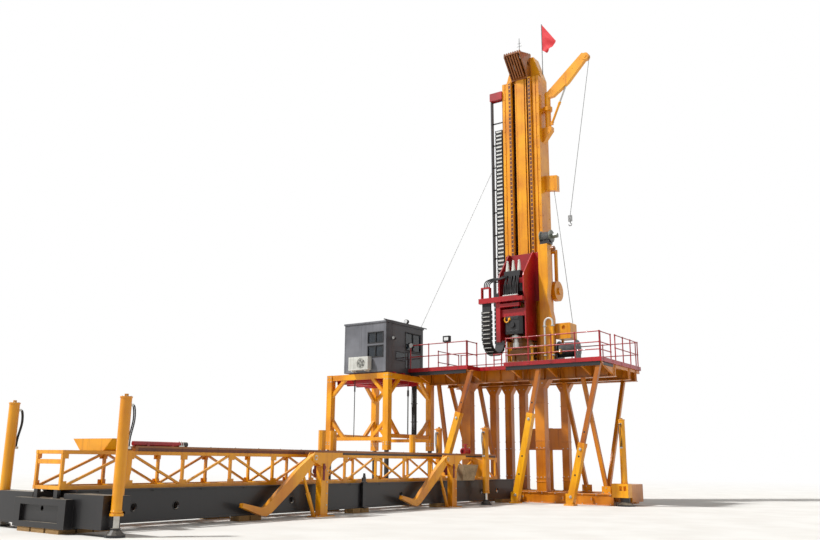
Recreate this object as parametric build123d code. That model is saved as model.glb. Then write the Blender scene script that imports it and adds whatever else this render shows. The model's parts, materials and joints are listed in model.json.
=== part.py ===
from build123d import *
import math
import os

# Geothermal drilling rig, built as separate named pieces in one frame.
# Millimetres, +Z up, the ground at Z = 0, +X from the pipe trailer's nose to the mast.
# Y = 0 is the middle of the pipe trailer here; write_nodes() moves the origin to the bottom centre.

os.makedirs("parts", exist_ok=True)

# Clearances
gap = 10                 # between pieces that pass each other
fit = 0.3                # at pins, shafts, shoes and door leaves
weld = 0.5               # weld line between bars of one frame

# Pipe trailer
base_x = 9670            # front face of the base frame, where the trailer ends
trailer_len = 22420
first_bay = 1920         # nose bay of the truss
nose_out = 130           # nose box of the skid, in front of the truss
nose_half = 1065
nose_deep = 500
nose_z0 = 110
nose_z1 = 780
tail_run = 1360          # bare skid behind the truss
bays = 11                # equal bays after the nose bay
skid_w = 1500            # width over the skid's side beams
skid_z0 = 150            # underside of the skid, on its timber blocks
skid_z1 = 980            # top of the skid
flange_w = 200
plate_t = 40
hole_r = 100             # round holes in the skid's sides
truss_w = 1130           # width over the truss chords
truss_z1 = 1900          # top of the truss
chord = 90
brace = 60
rail_size = 140          # pipe rails along the top

# Jacks
jack_x = 330             # nose pair, behind the nose
jack_span = 2350         # and its distance from the middle
rear_jack_x = 6380
rear_jack_span = 1150
jack_r = 130
jack_top = 3050
jack_low = 460
foot_r = 230
side_jack_out = 480      # near jack, beyond the base frame's near end
side_jack_up = 400       # and how much higher it sits

# Loading arms
arm_posts_x = (-3880, 3900)
arm_out = 300            # arm plane beyond the skid's side
arm_t = 150              # arm thickness
arm_z = 1800             # pivot height
arm_back = 450           # pivot in front of the post
arm_reach = 2600         # elbow in front of the post
arm_tip = 850            # length of the bent-up tip
post_w = 340
pin_r = 45

# Drill floor
floor_z = 6050           # walking level
deck_t = 60
band_h = 180             # red band at the floor's edge
band_t = 40
beam_z0 = 5350           # underside of the floor beams
joist_h = 260
rail_h = 1130            # guard rails
rail_r = 24
platform_d = 1090        # depth of the two front platforms
floor_d = 3560           # depth of the main floor
floor_w = 9700
y_far = 4100             # far end of the floor
y_well = -650            # middle of the mast and of the well
recess_near = 450        # recess between the platforms, each side of the well
recess_far = 1510
well_half = 330          # half of the square well opening
floor_front = 280        # main floor in front of the base frame
base_h = 460
base_w = 400
base_near = -5350
base_far = 3000
column_x = 420
column_y = 460
leg_w = 160

# Mast
mast_x = 11350           # front face
mast_w = 2080
mast_d = 1000
mast_h = 15050
mast_rail_h = 110        # toothed rails stand this proud of the mast
mast_rail_w = 160
rail_seat = 60           # and this deep in the mast's front
slot_d = 300             # dark slots beside the middle panel
well_set = 1000          # well in front of the mast
crown_h = 1150           # hood's front above the mast top
crown_out = 850          # overhang
crown_half = 470

# Carriage, at the foot of its travel
car_z0 = 9300
car_h = 2400
cheek_half = 650
cheek_t = 60
chain_w = 450
chain_t = 110
tray_w = 680

# Jib crane
jib_z = 19900            # boom foot
jib_reach = 2150
jib_rise = 1950
jib_side = 260           # slewing axis from the mast's side
jib_r = 150              # slewing sleeve
jib_drop = 8170          # hook below the boom's tip
jib_lean = 1350          # and this much nearer to the mast
line_z = 14850           # bracket of the winch line

# Cabin and its frame
cab_x0 = 6400
cab_l = 3880
cab_w = 3700
cab_set = 150            # frame starts this far inside the floor's far end
cab_z0 = 2200
cab_z1 = 5720
cab_post = 300
cabin_l = 3080
cabin_w = 2500
cabin_h = 2400
cabin_rise = 60          # top of the red floor beams above the frame
wall = 80
glass_t = 20

# Derived places
x_nose = base_x - trailer_len
nose_x0 = x_nose - nose_out
jack_nose_x = x_nose + jack_x
bay = (trailer_len - first_bay - tail_run) / bays
truss_x = [x_nose + chord / 2, x_nose + first_bay] + [x_nose + first_bay + bay * (i + 1) for i in range(bays)]
x_step = base_x - floor_front
x_front = x_step - platform_d
x_rear = x_step + floor_d
y_near = y_far - floor_w
recess_y0 = y_well - recess_near
recess_y1 = y_well + recess_far
well_x = mast_x - well_set
beam_top = floor_z - deck_t
lines = (base_x + base_w / 2, mast_x + 250, x_rear - 500)
mast_top = floor_z + mast_h
mast_y0 = y_well - mast_w / 2
mast_y1 = y_well + mast_w / 2
car_x1 = mast_x - mast_rail_h - gap
chain_x = (well_x - 450, car_x1 - chain_t / 2 + 40)
chain_y = mast_y1 + 60
jib_x = mast_x + mast_d / 2
jib_y = mast_y0 - jib_side
cab_y0 = y_far - cab_set
y_beam = cab_y0 - 4 * gap
cab_y1 = cab_y0 + cab_w
cab_x1 = cab_x0 + cab_l
cabin_x0 = cab_x0 + 60
cabin_x1 = cabin_x0 + cabin_l
cabin_y0 = y_far + band_t
cabin_y1 = cabin_y0 + cabin_w
cabin_z0 = cab_z1 + cabin_rise
cabin_z1 = cabin_z0 + cabin_h
arm_y = -(skid_w / 2 + arm_out)
front_column_y = (y_well - 1430, y_well + 2400)
rear_column_y = (y_well - 1430, y_well + 770, y_well + 1550, y_well + 2400)

nodes = {}


def place(name, shape):
    """Keeps one node for write_nodes()."""
    nodes[name] = shape


def write_nodes():
    """Writes every node, moved so that the origin is the bottom centre."""
    boxes = [shape.bounding_box() for shape in nodes.values()]
    x_mid = (min(b.min.X for b in boxes) + max(b.max.X for b in boxes)) / 2
    y_mid = (min(b.min.Y for b in boxes) + max(b.max.Y for b in boxes)) / 2
    for name, shape in nodes.items():
        export_step(Pos(-x_mid, -y_mid, 0) * shape, "parts/" + name + ".step")
    print("nodes", len(nodes), "origin at", round(x_mid, 3), round(y_mid, 3))


def cone(x, y, z, r0, r1, h, sides=12):
    """A many-sided upright cone from radius r0 down at z to r1 on top."""
    slope = math.degrees(math.atan((r0 - r1) * math.cos(math.pi / sides) / h))
    return extrude(Pos(x, y, z) * RegularPolygon(r0, sides), h, taper=slope)


def box(x0, x1, y0, y1, z0, z1):
    """A box between two corners."""
    size = Box(abs(x1 - x0), abs(y1 - y0), abs(z1 - z0))
    return Pos((x0 + x1) / 2, (y0 + y1) / 2, (z0 + z1) / 2) * size


def rod(a, b, r, sides=8):
    """A round bar from a to b, drawn with few sides to keep the model light."""
    a = Vector(*a)
    b = Vector(*b)
    return extrude(Plane(origin=a, z_dir=b - a) * RegularPolygon(r, sides), (b - a).length)


def shaft(a, b, r):
    """A true cylinder from a to b, for the bores that pins and shafts turn in."""
    a = Vector(*a)
    b = Vector(*b)
    return extrude(Plane(origin=a, z_dir=b - a) * Circle(r), (b - a).length)


def bar(a, b, w, h=None, side=(0, 1, 0)):
    """A square or flat bar from a to b; w is its size along side."""
    a = Vector(*a)
    b = Vector(*b)
    h = h or w
    plane = Plane(origin=a, x_dir=Vector(*side), z_dir=b - a)
    return extrude(plane * Rectangle(w, h), (b - a).length)


def plate_xz(points, y, t):
    """A plate of thickness t whose outline lies in X and Z, centred on y."""
    face = make_face(Polyline(*points, close=True))
    plane = Plane(origin=(0, y + t / 2, 0), x_dir=(1, 0, 0), z_dir=(0, -1, 0))
    return extrude(plane * face, t)


def plate_yz(points, x, t):
    """A plate of thickness t whose outline lies in Y and Z, from x towards +X."""
    face = make_face(Polyline(*points, close=True))
    plane = Plane(origin=(x, 0, 0), x_dir=(0, 1, 0), z_dir=(1, 0, 0))
    return extrude(plane * face, t)


def disc(x, y, z, r, t, sides=24):
    """A many-sided disc with its axis along Y, centred on y."""
    return rod((x, y - t / 2, z), (x, y + t / 2, z), r, sides)


def group(pieces):
    """Several separate solids kept in one node."""
    return Compound(children=list(pieces))


def joined(pieces):
    """Pieces fused to one solid."""
    shape = pieces[0]
    for piece in pieces[1:]:
        shape = shape + piece
    return shape


def between(a, b, n):
    """n + 1 evenly spaced values from a to b."""
    return [a + (b - a) * i / n for i in range(n + 1)]


# Pipe trailer
def skid():
    """Two channel beams with round holes, cross members, and a nose box with wings to the jacks."""
    half = skid_w / 2
    mid = (skid_z0 + skid_z1) / 2
    x_box = nose_x0 + nose_deep
    parts = []
    for s in (-1, 1):
        web_y = s * (half - 60)
        web = box(x_box, base_x, web_y - plate_t / 2, web_y + plate_t / 2, skid_z0, skid_z1)
        for i in range(4):
            for step in (0.09, 0.15):
                x = x_nose + (i * 0.26 + step) * trailer_len
                if x < base_x - 200:
                    web = web - disc(x, web_y, mid - 40, hole_r, 100, 8)
        parts.append(web)
        parts.append(box(x_box, base_x, s * half, s * (half - flange_w), skid_z0, skid_z0 + plate_t))
        parts.append(box(x_box, base_x, s * half, s * (half - flange_w), skid_z1 - plate_t, skid_z1))
        parts.append(box(nose_x0, x_box, s * (nose_half - 270), s * nose_half, nose_z0, nose_z1))
        wing_x = (jack_nose_x - 250, jack_nose_x + 250)
        end = s * (jack_span - jack_r - 50)
        parts.append(box(*wing_x, s * (half - 100), end, skid_z0, skid_z1 - 80))
        clamp = box(jack_nose_x + 40, wing_x[1], end, s * (jack_span + jack_r), skid_z0 + 350, skid_z1 - 80)
        clamp = clamp - rod((jack_nose_x, s * jack_span, 0), (jack_nose_x, s * jack_span, 3000), jack_r, 12)
        parts.append(clamp - rod((jack_nose_x, s * jack_span, 0), (jack_nose_x, s * jack_span, 560), jack_r + 50, 8))
    for x in between(x_nose + 900, base_x - 100, 6):
        parts.append(box(x - 90, x + 90, -half + 50, half - 50, skid_z0 + 20, skid_z0 + 260))
        parts.append(box(x - 60, x + 60, -half + 50, half - 50, skid_z1 - 180, skid_z1 - 10))
    y = nose_half - 200
    parts.append(box(nose_x0, x_box, -y, y, nose_z1 - 150, nose_z1))
    parts.append(box(nose_x0, x_box, -y, y, nose_z0, nose_z0 + 130))
    back = box(nose_x0 + 90, x_box, -y, y, nose_z0 + 50, nose_z1 - 50)
    hole_z = nose_z1 - 230
    parts.append(back - rod((nose_x0, 0, hole_z), (x_box + 10, 0, hole_z), 60, 12))
    for s in (-1, 1):
        y0 = s * 0.3 * truss_w
        parts.append(box(x_nose, x_nose + 90, y0, y0 + s * 150, nose_z1 - 60, skid_z1))
    return joined(parts)


def blocks():
    """Timber blocks under the skid and under its nose box."""
    parts = []
    for x in between(x_nose + 830, base_x - 900, 4):
        for s in (-1, 1):
            y = s * (skid_w / 2 - 100)
            for side in (-1, 1):
                x_mid = x + side * 230
                parts.append(box(x_mid - 210, x_mid + 210, y - 180, y + 180, 0, skid_z0))
    for y in (-600, 0, 600):
        parts.append(box(nose_x0 + 20, nose_x0 + nose_deep - 40, y - 260, y + 260, 0, nose_z0))
    return group(parts)


def truss_side(s):
    """One flat lattice side: two chords, posts and alternating diagonals."""
    y = s * (truss_w / 2 - chord / 2)
    z0 = skid_z1 + chord / 2
    z1 = truss_z1 - chord / 2
    xa = truss_x[0] - chord / 2
    xb = truss_x[-1] + chord / 2
    parts = [bar((xa, y, z0), (xb, y, z0), chord), bar((xa, y, z1), (xb, y, z1), chord)]
    for x in truss_x:
        parts.append(bar((x, y, z0), (x, y, z1), chord * 0.8))
    for i, (a, b) in enumerate(zip(truss_x[:-1], truss_x[1:])):
        low, high = (z0, z1) if i % 2 == 0 else (z1, z0)
        parts.append(bar((a, y, low), (b, y, high), brace))
    return joined(parts)


def truss_cross():
    """Cross bars between the two sides, with a second bar at the nose."""
    y = truss_w / 2 - chord
    parts = []
    for x in truss_x:
        for z in (skid_z1 + chord / 2, truss_z1 - chord / 2):
            parts.append(bar((x, -y, z), (x, y, z), chord * 0.8, chord, (1, 0, 0)))
    y = y + 0.1 * chord
    z = truss_z1 - 3 * chord
    parts.append(bar((truss_x[0], -y, z), (truss_x[0], y, z), 60, 110, (1, 0, 0)))
    return group(parts)


def pipe_rack():
    """The trough near the nose, two pipe rails and the stop posts on the far side."""
    x = x_nose + 1150
    low = truss_w / 2 - 75
    out = [(-low, truss_z1), (low, truss_z1), (low + 330, truss_z1 + 300), (-low - 330, truss_z1 + 300)]
    inner = [(-low + 30, truss_z1 + 30), (low - 30, truss_z1 + 30), (low + 290, truss_z1 + 301),
             (-low - 290, truss_z1 + 301)]
    parts = [plate_yz(out, x, 420) - plate_yz(inner, x + 30, 360)]
    for s in (-1, 1):
        y = s * (truss_w / 2 - rail_size / 2)
        parts.append(box(x + 900, truss_x[-1], y - rail_size / 2, y + rail_size / 2, truss_z1, truss_z1 + rail_size))
    shelf_y = truss_w / 2 + 300
    for x in (x_nose + 10850, x_nose + 11450, x_nose + 16450):
        shelf = box(x - 200, x + 200, truss_w / 2, shelf_y, truss_z1 - 60, truss_z1)
        parts.append(shelf + rod((x, truss_w / 2 + 150, truss_z1), (x, truss_w / 2 + 150, truss_z1 + 850), 130))
    return group(parts)


# Jacks
def jack_places():
    """Each jack: x, y and which side it stands on."""
    places = [(x_nose + jack_x, s * jack_span, s) for s in (-1, 1)]
    places += [(rear_jack_x, s * rear_jack_span, s) for s in (-1, 1)]
    return places


side_jack = (base_x + 20, base_near - side_jack_out)


def barrel(x, y):
    """A jack's barrel with its bottom collar, top cap and lug."""
    parts = [rod((x, y, jack_low + 60), (x, y, jack_top - 60), jack_r, 12)]
    parts.append(rod((x, y, jack_low), (x, y, jack_low + 60), jack_r + 25, 12))
    parts.append(rod((x, y, jack_top - 60), (x, y, jack_top), jack_r - 15, 12))
    parts.append(rod((x, y, jack_top), (x, y, jack_top + 130), 50, 6))
    return joined(parts)


def jack_barrels():
    """Barrels with a curved gusset on the nose pair and brackets from the rear pair to the truss."""
    parts = []
    for x, y, s in jack_places():
        shape = barrel(x, y)
        if x == jack_nose_x:
            gusset = [(x + 90, 1120), (x + 200, 1200), (x + 265, 1400), (x + 275, 1900), (x + 90, 1900)]
            shape = shape + plate_xz(gusset, y, 80) if s < 0 else shape
        else:
            inner = s * (truss_w / 2 + weld)
            bracket = [(inner, 1060), (y, 1150), (y, 1750), (inner, truss_z1)]
            shape = shape + plate_yz(bracket, x - 70, 140)
            shape = shape + rod((x, y, 1100), (x, y, 1800), jack_r + 30, 12)
            shape = shape + box(x - 150, x + 150, y - 150, y + 150, jack_top, jack_top + 40)
        parts.append(shape)
    x, y = side_jack
    casting = box(x - 225, x + 225, y - 225, base_near - weld, 340, 900)
    for dy in (-90, 90):
        casting = casting - box(x - 230, x - 120, y + dy - 60, y + dy + 60, 620, 800)
    parts.append(Pos(0, 0, side_jack_up) * barrel(x, y) + casting)
    return group(parts)


def support_feet():
    """Jack rods with their round feet, and the cabin frame's four legs with square feet."""
    parts = []
    for x, y, s in jack_places():
        parts.append(rod((x, y, 40), (x, y, jack_low), 75) + Pos(x, y, 0) * foot_disc(foot_r))
    x, y = side_jack
    parts.append(rod((x, y, 40), (x, y, 340), 200, 10) + Pos(x, y, 0) * foot_disc(1.7 * foot_r))
    for x in (cab_x0 + cab_post / 2, cab_x1 - cab_post / 2):
        for y in (cab_y0 + cab_post / 2, cab_y1 - cab_post / 2):
            parts.append(rod((x, y, 40), (x, y, cab_z0), 110) + box(x - 220, x + 220, y - 220, y + 220, 0, 40))
    return group(parts)


def foot_disc(r):
    """A round foot with a sloping shoulder."""
    return rod((0, 0, 0), (0, 0, 60), r, 12) + cone(0, 0, 60, r - 20, 0.45 * r, 110)


# Loading arms
def arm_post(x):
    """A post with a forked head, its curved gusset, foot plate and the lug to the truss."""
    y = arm_y
    half = post_w / 2
    fork = arm_t / 2 + gap / 2
    out = fork + 30
    post = box(x - half, x + half, y - out, y + out, 30, arm_z - 250)
    web = box(x + 20, x + half, y - out, y + out, arm_z - 300, arm_z + 150)
    foot = box(x - 460, x + 420, y - 200, y + 200, 0, 30)
    rim = Polyline((half, arm_z - 520), (half + 50, arm_z - 300), (half + 180, arm_z - 120), (half + 400, arm_z - 10),
                   (half + 690, arm_z + 40), (half + 690, arm_z + 160), (-arm_back - 60, arm_z + 160),
                   (-arm_back - 150, arm_z + 60), (-arm_back - 150, arm_z - 90), (-half, arm_z - 260),
                   (-half, arm_z - 520), close=True)
    head = make_face(rim)
    parts = [post, web, foot]
    for side in (-1, 1):
        outer = y + side * out if side == 1 else y - fork
        plane = Plane(origin=(x, outer, 0), x_dir=(1, 0, 0), z_dir=(0, -1, 0))
        parts.append(extrude(plane * head, out - fork))
    parts.append(box(x - 100, x + half, y + out - 10, -truss_w / 2 - weld, arm_z - 250, arm_z + 60))
    pin = rod((x - arm_back, y - out - 25, arm_z), (x - arm_back, y + out + 25, arm_z), pin_r, 12)
    return joined(parts + [pin])


def loading_arm(x):
    """A deep tapered arm with a bent-up tip, bored for its pivot pin."""
    px = x - arm_back
    ex = x - arm_reach
    ez = 210
    tx = ex - arm_tip
    points = [(px - 60, arm_z + 110), (px - 700, arm_z - 300), (ex + 60, ez + 190), (ex - 60, ez + 150),
              (tx, ez + 310), (tx - 30, ez + 190), (ex - 120, ez - 60), (ex + 100, ez - 90),
              (ex + 330, ez + 20), (px - 640, arm_z - 730), (px + 60, arm_z - 120)]
    body = plate_xz(points, arm_y, arm_t) + disc(px, arm_y, arm_z, 125, arm_t)
    return body - shaft((px, arm_y - 200, arm_z), (px, arm_y + 200, arm_z), pin_r + fit)


def arm_posts():
    """Both posts, each with the push rod that stands under its arm."""
    parts = []
    for x in arm_posts_x:
        foot = (x - 360, arm_y, 15)
        knee = (x - arm_back - 420, arm_y, 0.667 * arm_z)
        push = rod(foot, knee, 45)
        mid = tuple(p + (q - p) * 0.6 for p, q in zip(foot, knee))
        push = push + rod(foot, mid, 62)
        parts.append(arm_post(x) + (push & box(x - 2000, x, arm_y - 300, arm_y + 300, 10, arm_z)))
    return group(parts)


def crate():
    """The crate beside the truss, standing on the skid and tapering downwards."""
    x = arm_posts_x[1] + 1400
    y1 = -truss_w / 2 - weld
    z1 = 1600
    along = [(x - 450, skid_z1), (x + 450, skid_z1), (x + 590, z1), (x - 590, z1)]
    across = [(y1, skid_z1), (y1 - 400, skid_z1), (y1 - 520, z1), (y1, z1)]
    return plate_xz(along, y1 - 260, 520) & plate_yz(across, x - 590, 1180)


# Cabin and its frame
def cabin_frame():
    """Posts and beams with knee braces, so that each side shows an eight-sided opening."""
    half = cab_post / 2
    xs = (cab_x0 + half, cab_x1 - half)
    ys = (cab_y0 + half, cab_y1 - half)
    knee = 900
    low = {"x": cab_z0 + 560, "y": cab_z0 + 420}
    parts = []
    for x in xs:
        for y in ys:
            parts.append(box(x - half, x + half, y - half, y + half, cab_z0, cab_z1))
    for y in ys:
        parts.append(box(xs[0], xs[1], y - 100, y + 100, cab_z1 - 260, cab_z1))
        parts.append(box(xs[0], xs[1], y - 100, y + 100, low["x"], low["x"] + 180))
        for x, s in zip(xs, (1, -1)):
            parts.append(bar((x, y, cab_z1 - 200 - knee), (x + s * knee, y, cab_z1 - 200), 150))
            parts.append(bar((x, y, low["x"] + 100 + knee), (x + s * knee, y, low["x"] + 100), 150))
    for x in xs:
        parts.append(box(x - 100, x + 100, ys[0], ys[1], cab_z1 - 260, cab_z1))
        parts.append(box(x - 100, x + 100, ys[0], ys[1], low["y"], low["y"] + 160))
        for y, s in zip(ys, (1, -1)):
            parts.append(bar((x, y, cab_z1 - 200 - knee), (x, y + s * knee, cab_z1 - 200), 150, 150, (1, 0, 0)))
            parts.append(bar((x, y, low["y"] + 100 + knee), (x, y + s * knee, low["y"] + 100), 150, 150, (1, 0, 0)))
    return joined(parts)


def cabin_beams():
    """Red beams that hang between the frame's top beams and carry the cabin on their flanges."""
    parts = []
    for x in between(cabin_x0 + 480, cabin_x1 - 380, 3):
        flange = box(x - 80, x + 80, cab_y0, cabin_y1, cab_z1, cabin_z0)
        parts.append(flange + box(x - 60, x + 60, cab_y0 + 260, cab_y1 - 260, cab_z1 - 420, cab_z1))
    return group(parts)


def cabin_openings(grow):
    """Boxes through the walls: two nose windows, the side window and the rear door."""
    w = wall + grow
    y0 = cabin_y0 + 180
    z = cabin_z0
    door_y = cabin_y0 + cabin_w / 2 - 450
    return [box(cabin_x0 - w, cabin_x0 + w, y0, y0 + 900, z + 1370, z + 1880),
            box(cabin_x0 - w, cabin_x0 + w, y0, y0 + 900, z + 700, z + 1240),
            box(cabin_x0 + 1560, cabin_x0 + 2860, cabin_y0 - w, cabin_y0 + w, z + 1150, z + 2020),
            box(cabin_x1 - w, cabin_x1 + w, door_y, door_y + 900, z + wall, z + 2080)]


def cabin_walls():
    """Walls with their openings, and the closed leaf of the rear door."""
    outer = box(cabin_x0, cabin_x1, cabin_y0, cabin_y1, cabin_z0 + wall, cabin_z1 - wall)
    inner = box(cabin_x0 + wall, cabin_x1 - wall, cabin_y0 + wall, cabin_y1 - wall, cabin_z0, cabin_z1)
    shape = outer - inner
    for opening in cabin_openings(100):
        shape = shape - opening
    door_y = cabin_y0 + cabin_w / 2 - 450
    leaf = box(cabin_x1 - wall + 10, cabin_x1 - 20, door_y + fit, door_y + 900 - fit,
               cabin_z0 + wall + fit, cabin_z0 + 2080 - fit)
    return group([shape, leaf])


def cabin_floor():
    """Floor slab of the cabin."""
    return box(cabin_x0, cabin_x1, cabin_y0, cabin_y1, cabin_z0, cabin_z0 + wall)


def cabin_roof():
    """Roof with a small overhang and two edge pipes on the floor side."""
    roof = box(cabin_x0 - 40, cabin_x1 + 40, cabin_y0 - 40, cabin_y1 + 40, cabin_z1 - wall, cabin_z1)
    y = cabin_y0 - 10
    pipe = rod((cabin_x0 - 200, y, cabin_z1 + 25), (cabin_x1 + 300, y, cabin_z1 + 25), 30)
    return roof + pipe


def cabin_glass():
    """One pane in each window."""
    panes = []
    for index, opening in enumerate(cabin_openings(0)[:3]):
        b = opening.bounding_box()
        if index < 2:
            x = cabin_x0 + wall / 2
            panes.append(box(x - glass_t / 2, x + glass_t / 2, b.min.Y, b.max.Y, b.min.Z, b.max.Z))
        else:
            y = cabin_y0 + wall / 2
            panes.append(box(b.min.X, b.max.X, y - glass_t / 2, y + glass_t / 2, b.min.Z, b.max.Z))
    return group(panes)


def cooler():
    """The air cooler on the nose wall, with a round fan opening and two brackets."""
    y = cabin_y0 + 800
    z = cabin_z0 + 30
    case = box(cabin_x0 - 360, cabin_x0 - 60, y, y + 1150, z + 60, z + 680)
    fan = rod((cabin_x0 - 400, y + 420, z + 370), (cabin_x0 - 330, y + 420, z + 370), 230, 24)
    case = case - fan
    for dy in (150, 950):
        case = case + box(cabin_x0 - 340, cabin_x0, y + dy, y + dy + 50, z, z + 60)
        case = case + box(cabin_x0 - 60, cabin_x0, y + dy, y + dy + 50, z, z + 300)
    return case


# Drill floor
def deck():
    """Floor plates: two front platforms, and four plates round the square well."""
    z0 = beam_top
    y0 = y_well - well_half
    y1 = y_well + well_half
    seam = 2
    plates = [(x_front, x_step - seam, recess_y1, y_far), (x_front, x_step - seam, y_near, recess_y0),
              (x_step, x_rear, y1 + seam, y_far), (x_step, x_rear, y_near, y0 - seam),
              (x_step, well_x - well_half, y0, y1), (well_x + well_half, x_rear, y0, y1)]
    return group([box(a, b, c, d, z0, floor_z) for a, b, c, d in plates])


def edge_band():
    """The red band, one flat bar along each straight edge of the floor."""
    z0 = floor_z - band_h
    t = band_t
    a = weld
    bars = [(x_front - t, x_front, y_near + a, recess_y0 - a), (x_front - t, x_front, recess_y1 + a, y_far - a),
            (x_step - t, x_step, recess_y0 + t + a, recess_y1 - t - a), (x_rear, x_rear + t, y_near + a, y_far - a),
            (x_front - t, x_step, recess_y0, recess_y0 + t), (x_front - t, x_step, recess_y1 - t, recess_y1),
            (x_front - t, x_rear + t, y_near - t, y_near), (x_front - t, x_rear + t, y_far, y_far + t)]
    return group([box(x0, x1, y0, y1, z0, floor_z) for x0, x1, y0, y1 in bars])


def i_beam(x, y0, y1, z0, z1, w):
    """A deep beam along Y: two flanges, a web and slanted stiffeners."""
    t = 35
    parts = [box(x - w / 2, x + w / 2, y0, y1, z0, z0 + t), box(x - w / 2, x + w / 2, y0, y1, z1 - t, z1),
             box(x - t / 2, x + t / 2, y0, y1, z0, z1)]
    count = max(2, round((y1 - y0) / 2400))
    for y in between(y0 + 40, y1 - 40, count):
        parts.append(box(x - w / 2 + 20, x + w / 2 - 20, y - 12, y + 12, z0, z1))
    return joined(parts)


def floor_beams():
    """Three deep beams along Y, joists between them and brackets under the platforms."""
    w = 300
    parts = [i_beam(x, y_near, y_beam, beam_z0, beam_top, w) for x in lines]
    joists = (y_near + 90, y_well - 3300, y_well - 1700, y_well + 1700, y_well + 3200, y_beam - 90)
    spans = [(lines[0] + w / 2, lines[1] - w / 2), (lines[1] + w / 2, lines[2] - w / 2),
             (lines[2] + w / 2, x_rear)]
    for y in joists:
        for a, b in spans:
            parts.append(box(a + weld, b - weld, y - 70, y + 70, beam_top - joist_h, beam_top))
    brackets = (y_near + 90, y_well - 3900, y_well - 2300, recess_y0 - 100)
    brackets += (recess_y1 + 100, y_well + 3000, y_beam - 90)
    x1 = lines[0] - w / 2 - weld
    for y in brackets:
        outline = [(x_front + 220 + weld, beam_top), (x_front + 220 + weld, beam_top - 160), (x1, beam_top - 560),
                   (x1, beam_top)]
        parts.append(plate_xz(outline, y, 90))
    for a, b in ((y_near, recess_y0), (recess_y1, y_beam)):
        parts.append(box(x_front + 60, x_front + 220, a, b, beam_top - 170, beam_top))
    return group(parts)


def rail_panel(a, b, bays_count, heights):
    """A guard rail panel from a to b on the floor: posts, and rails at the given heights."""
    parts = []
    for h in heights:
        parts.append(bar((a[0], a[1], floor_z + h), (b[0], b[1], floor_z + h), 2 * rail_r, side=(0, 0, 1)))
    r = rail_r + 2
    for x, y in zip(between(a[0], b[0], bays_count), between(a[1], b[1], bays_count)):
        parts.append(box(x - r, x + r, y - r, y + r, floor_z, floor_z + heights[0] + rail_r))
    return joined(parts)


def guard_rails():
    """Panels round the floor, each with its own posts, and the low rail at the recess."""
    e = 50
    c = 90
    high = (rail_h, 0.5 * rail_h)
    low = (0.96 * rail_h, 0.56 * rail_h, 0.29 * rail_h)
    xa = x_front + e
    xb = x_rear - e
    ya = y_near + e
    yb = y_far - e
    side_x = lines[0] + 250
    runs = [((xa, ya), (xa, recess_y0 - e), 4, low), ((xa, recess_y1 + e), (xa, yb), 3, high),
            ((xa + c, recess_y1 + e), (x_step - c, recess_y1 + e), 1, high),
            ((xa + c, ya), (x_step + 200, ya), 1, low), ((side_x, ya), (xb, ya), 3, high),
            ((xb, ya + c), (xb, y_well - c), 3, high), ((xb, y_well + c), (xb, yb - c), 3, high),
            ((side_x + 700, yb), (xb - c, yb), 2, high)]
    parts = [rail_panel(a, b, n, h) for a, b, n, h in runs]
    parts.append(rail_panel((x_step + e, y_well + 320), (x_step + e, y_well + 720), 1, (560, 300)))
    return group(parts)


def columns():
    """Square columns with a foot plate and a head that flares along Y, two of them tied at the rear."""
    parts = []
    for x, ys, wide in ((lines[0], front_column_y, 1.0), (lines[2], rear_column_y, 0.75)):
        for y in ys:
            half = column_y * wide / 2
            deep = column_x * wide / 2
            shape = box(x - deep, x + deep, y - half, y + half, base_h, beam_z0)
            shape = shape + box(x - deep - 25, x + deep + 25, y - half - 25, y + half + 25, base_h, base_h + 30)
            head = [(y - half, beam_z0 - 360), (y + half, beam_z0 - 360), (y + half + 280 * wide, beam_z0),
                    (y - half - 280 * wide, beam_z0)]
            parts.append(shape + plate_yz(head, x - deep - 20, 2 * deep + 40))
    inner = 0.375 * column_y + weld
    y0 = rear_column_y[0] + inner
    parts.append(box(lines[2] - 130, lines[2] + 130, y0, rear_column_y[1] - inner, 2300, 3300))
    return group(parts)


def struts():
    """Three telescopic struts from the ground to the platforms' front beam."""
    x = x_front + 140
    z1 = beam_top - 170
    parts = []
    for foot_y, head_y, joint in ((-3960, -5480, 0.42), (-1430, -2730, 0.64), (2680, 700, 0.66)):
        a = Vector(x, foot_y, 60)
        b = Vector(x, head_y, z1 + 60)
        mid = a + (b - a) * joint
        sleeve = bar(a, mid, 280)
        stem = bar(mid, b, 180)
        foot = box(x - 200, x + 200, foot_y - 220, foot_y + 220, 0, 60)
        lugs = [box(x + s * 120 - 15, x + s * 120 + 15, foot_y - 150, foot_y + 150, 30, 480) for s in (-1, 1)]
        y1 = head_y + (foot_y - head_y) / 90
        head = box(x - 100, x + 100, y1 - 170, y1 + 170, z1 - 50, z1)
        shape = joined([sleeve, stem, foot, head] + lugs)
        keep = box(x - 400, x + 400, min(foot_y, head_y) - 500, max(foot_y, head_y) + 500, 0, z1)
        parts.append(shape & keep)
    return group(parts)


def leg(x0, y0, x1, y1, w):
    """A leg from the base frame at x0, y0 up to the floor beams at x1, y1."""
    a = Vector(x0, y0, base_h)
    b = Vector(x1, y1, beam_z0)
    d = (b - a).normalized() * 200
    side = (1, 0, 0) if abs(y1 - y0) > abs(x1 - x0) else (0, 1, 0)
    body = bar(a - d, b + d, w, w, side)
    reach = 4000
    room = box(x0 - reach, x0 + reach, y0 - reach, y0 + reach, base_h, beam_z0)
    return body & room


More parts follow.
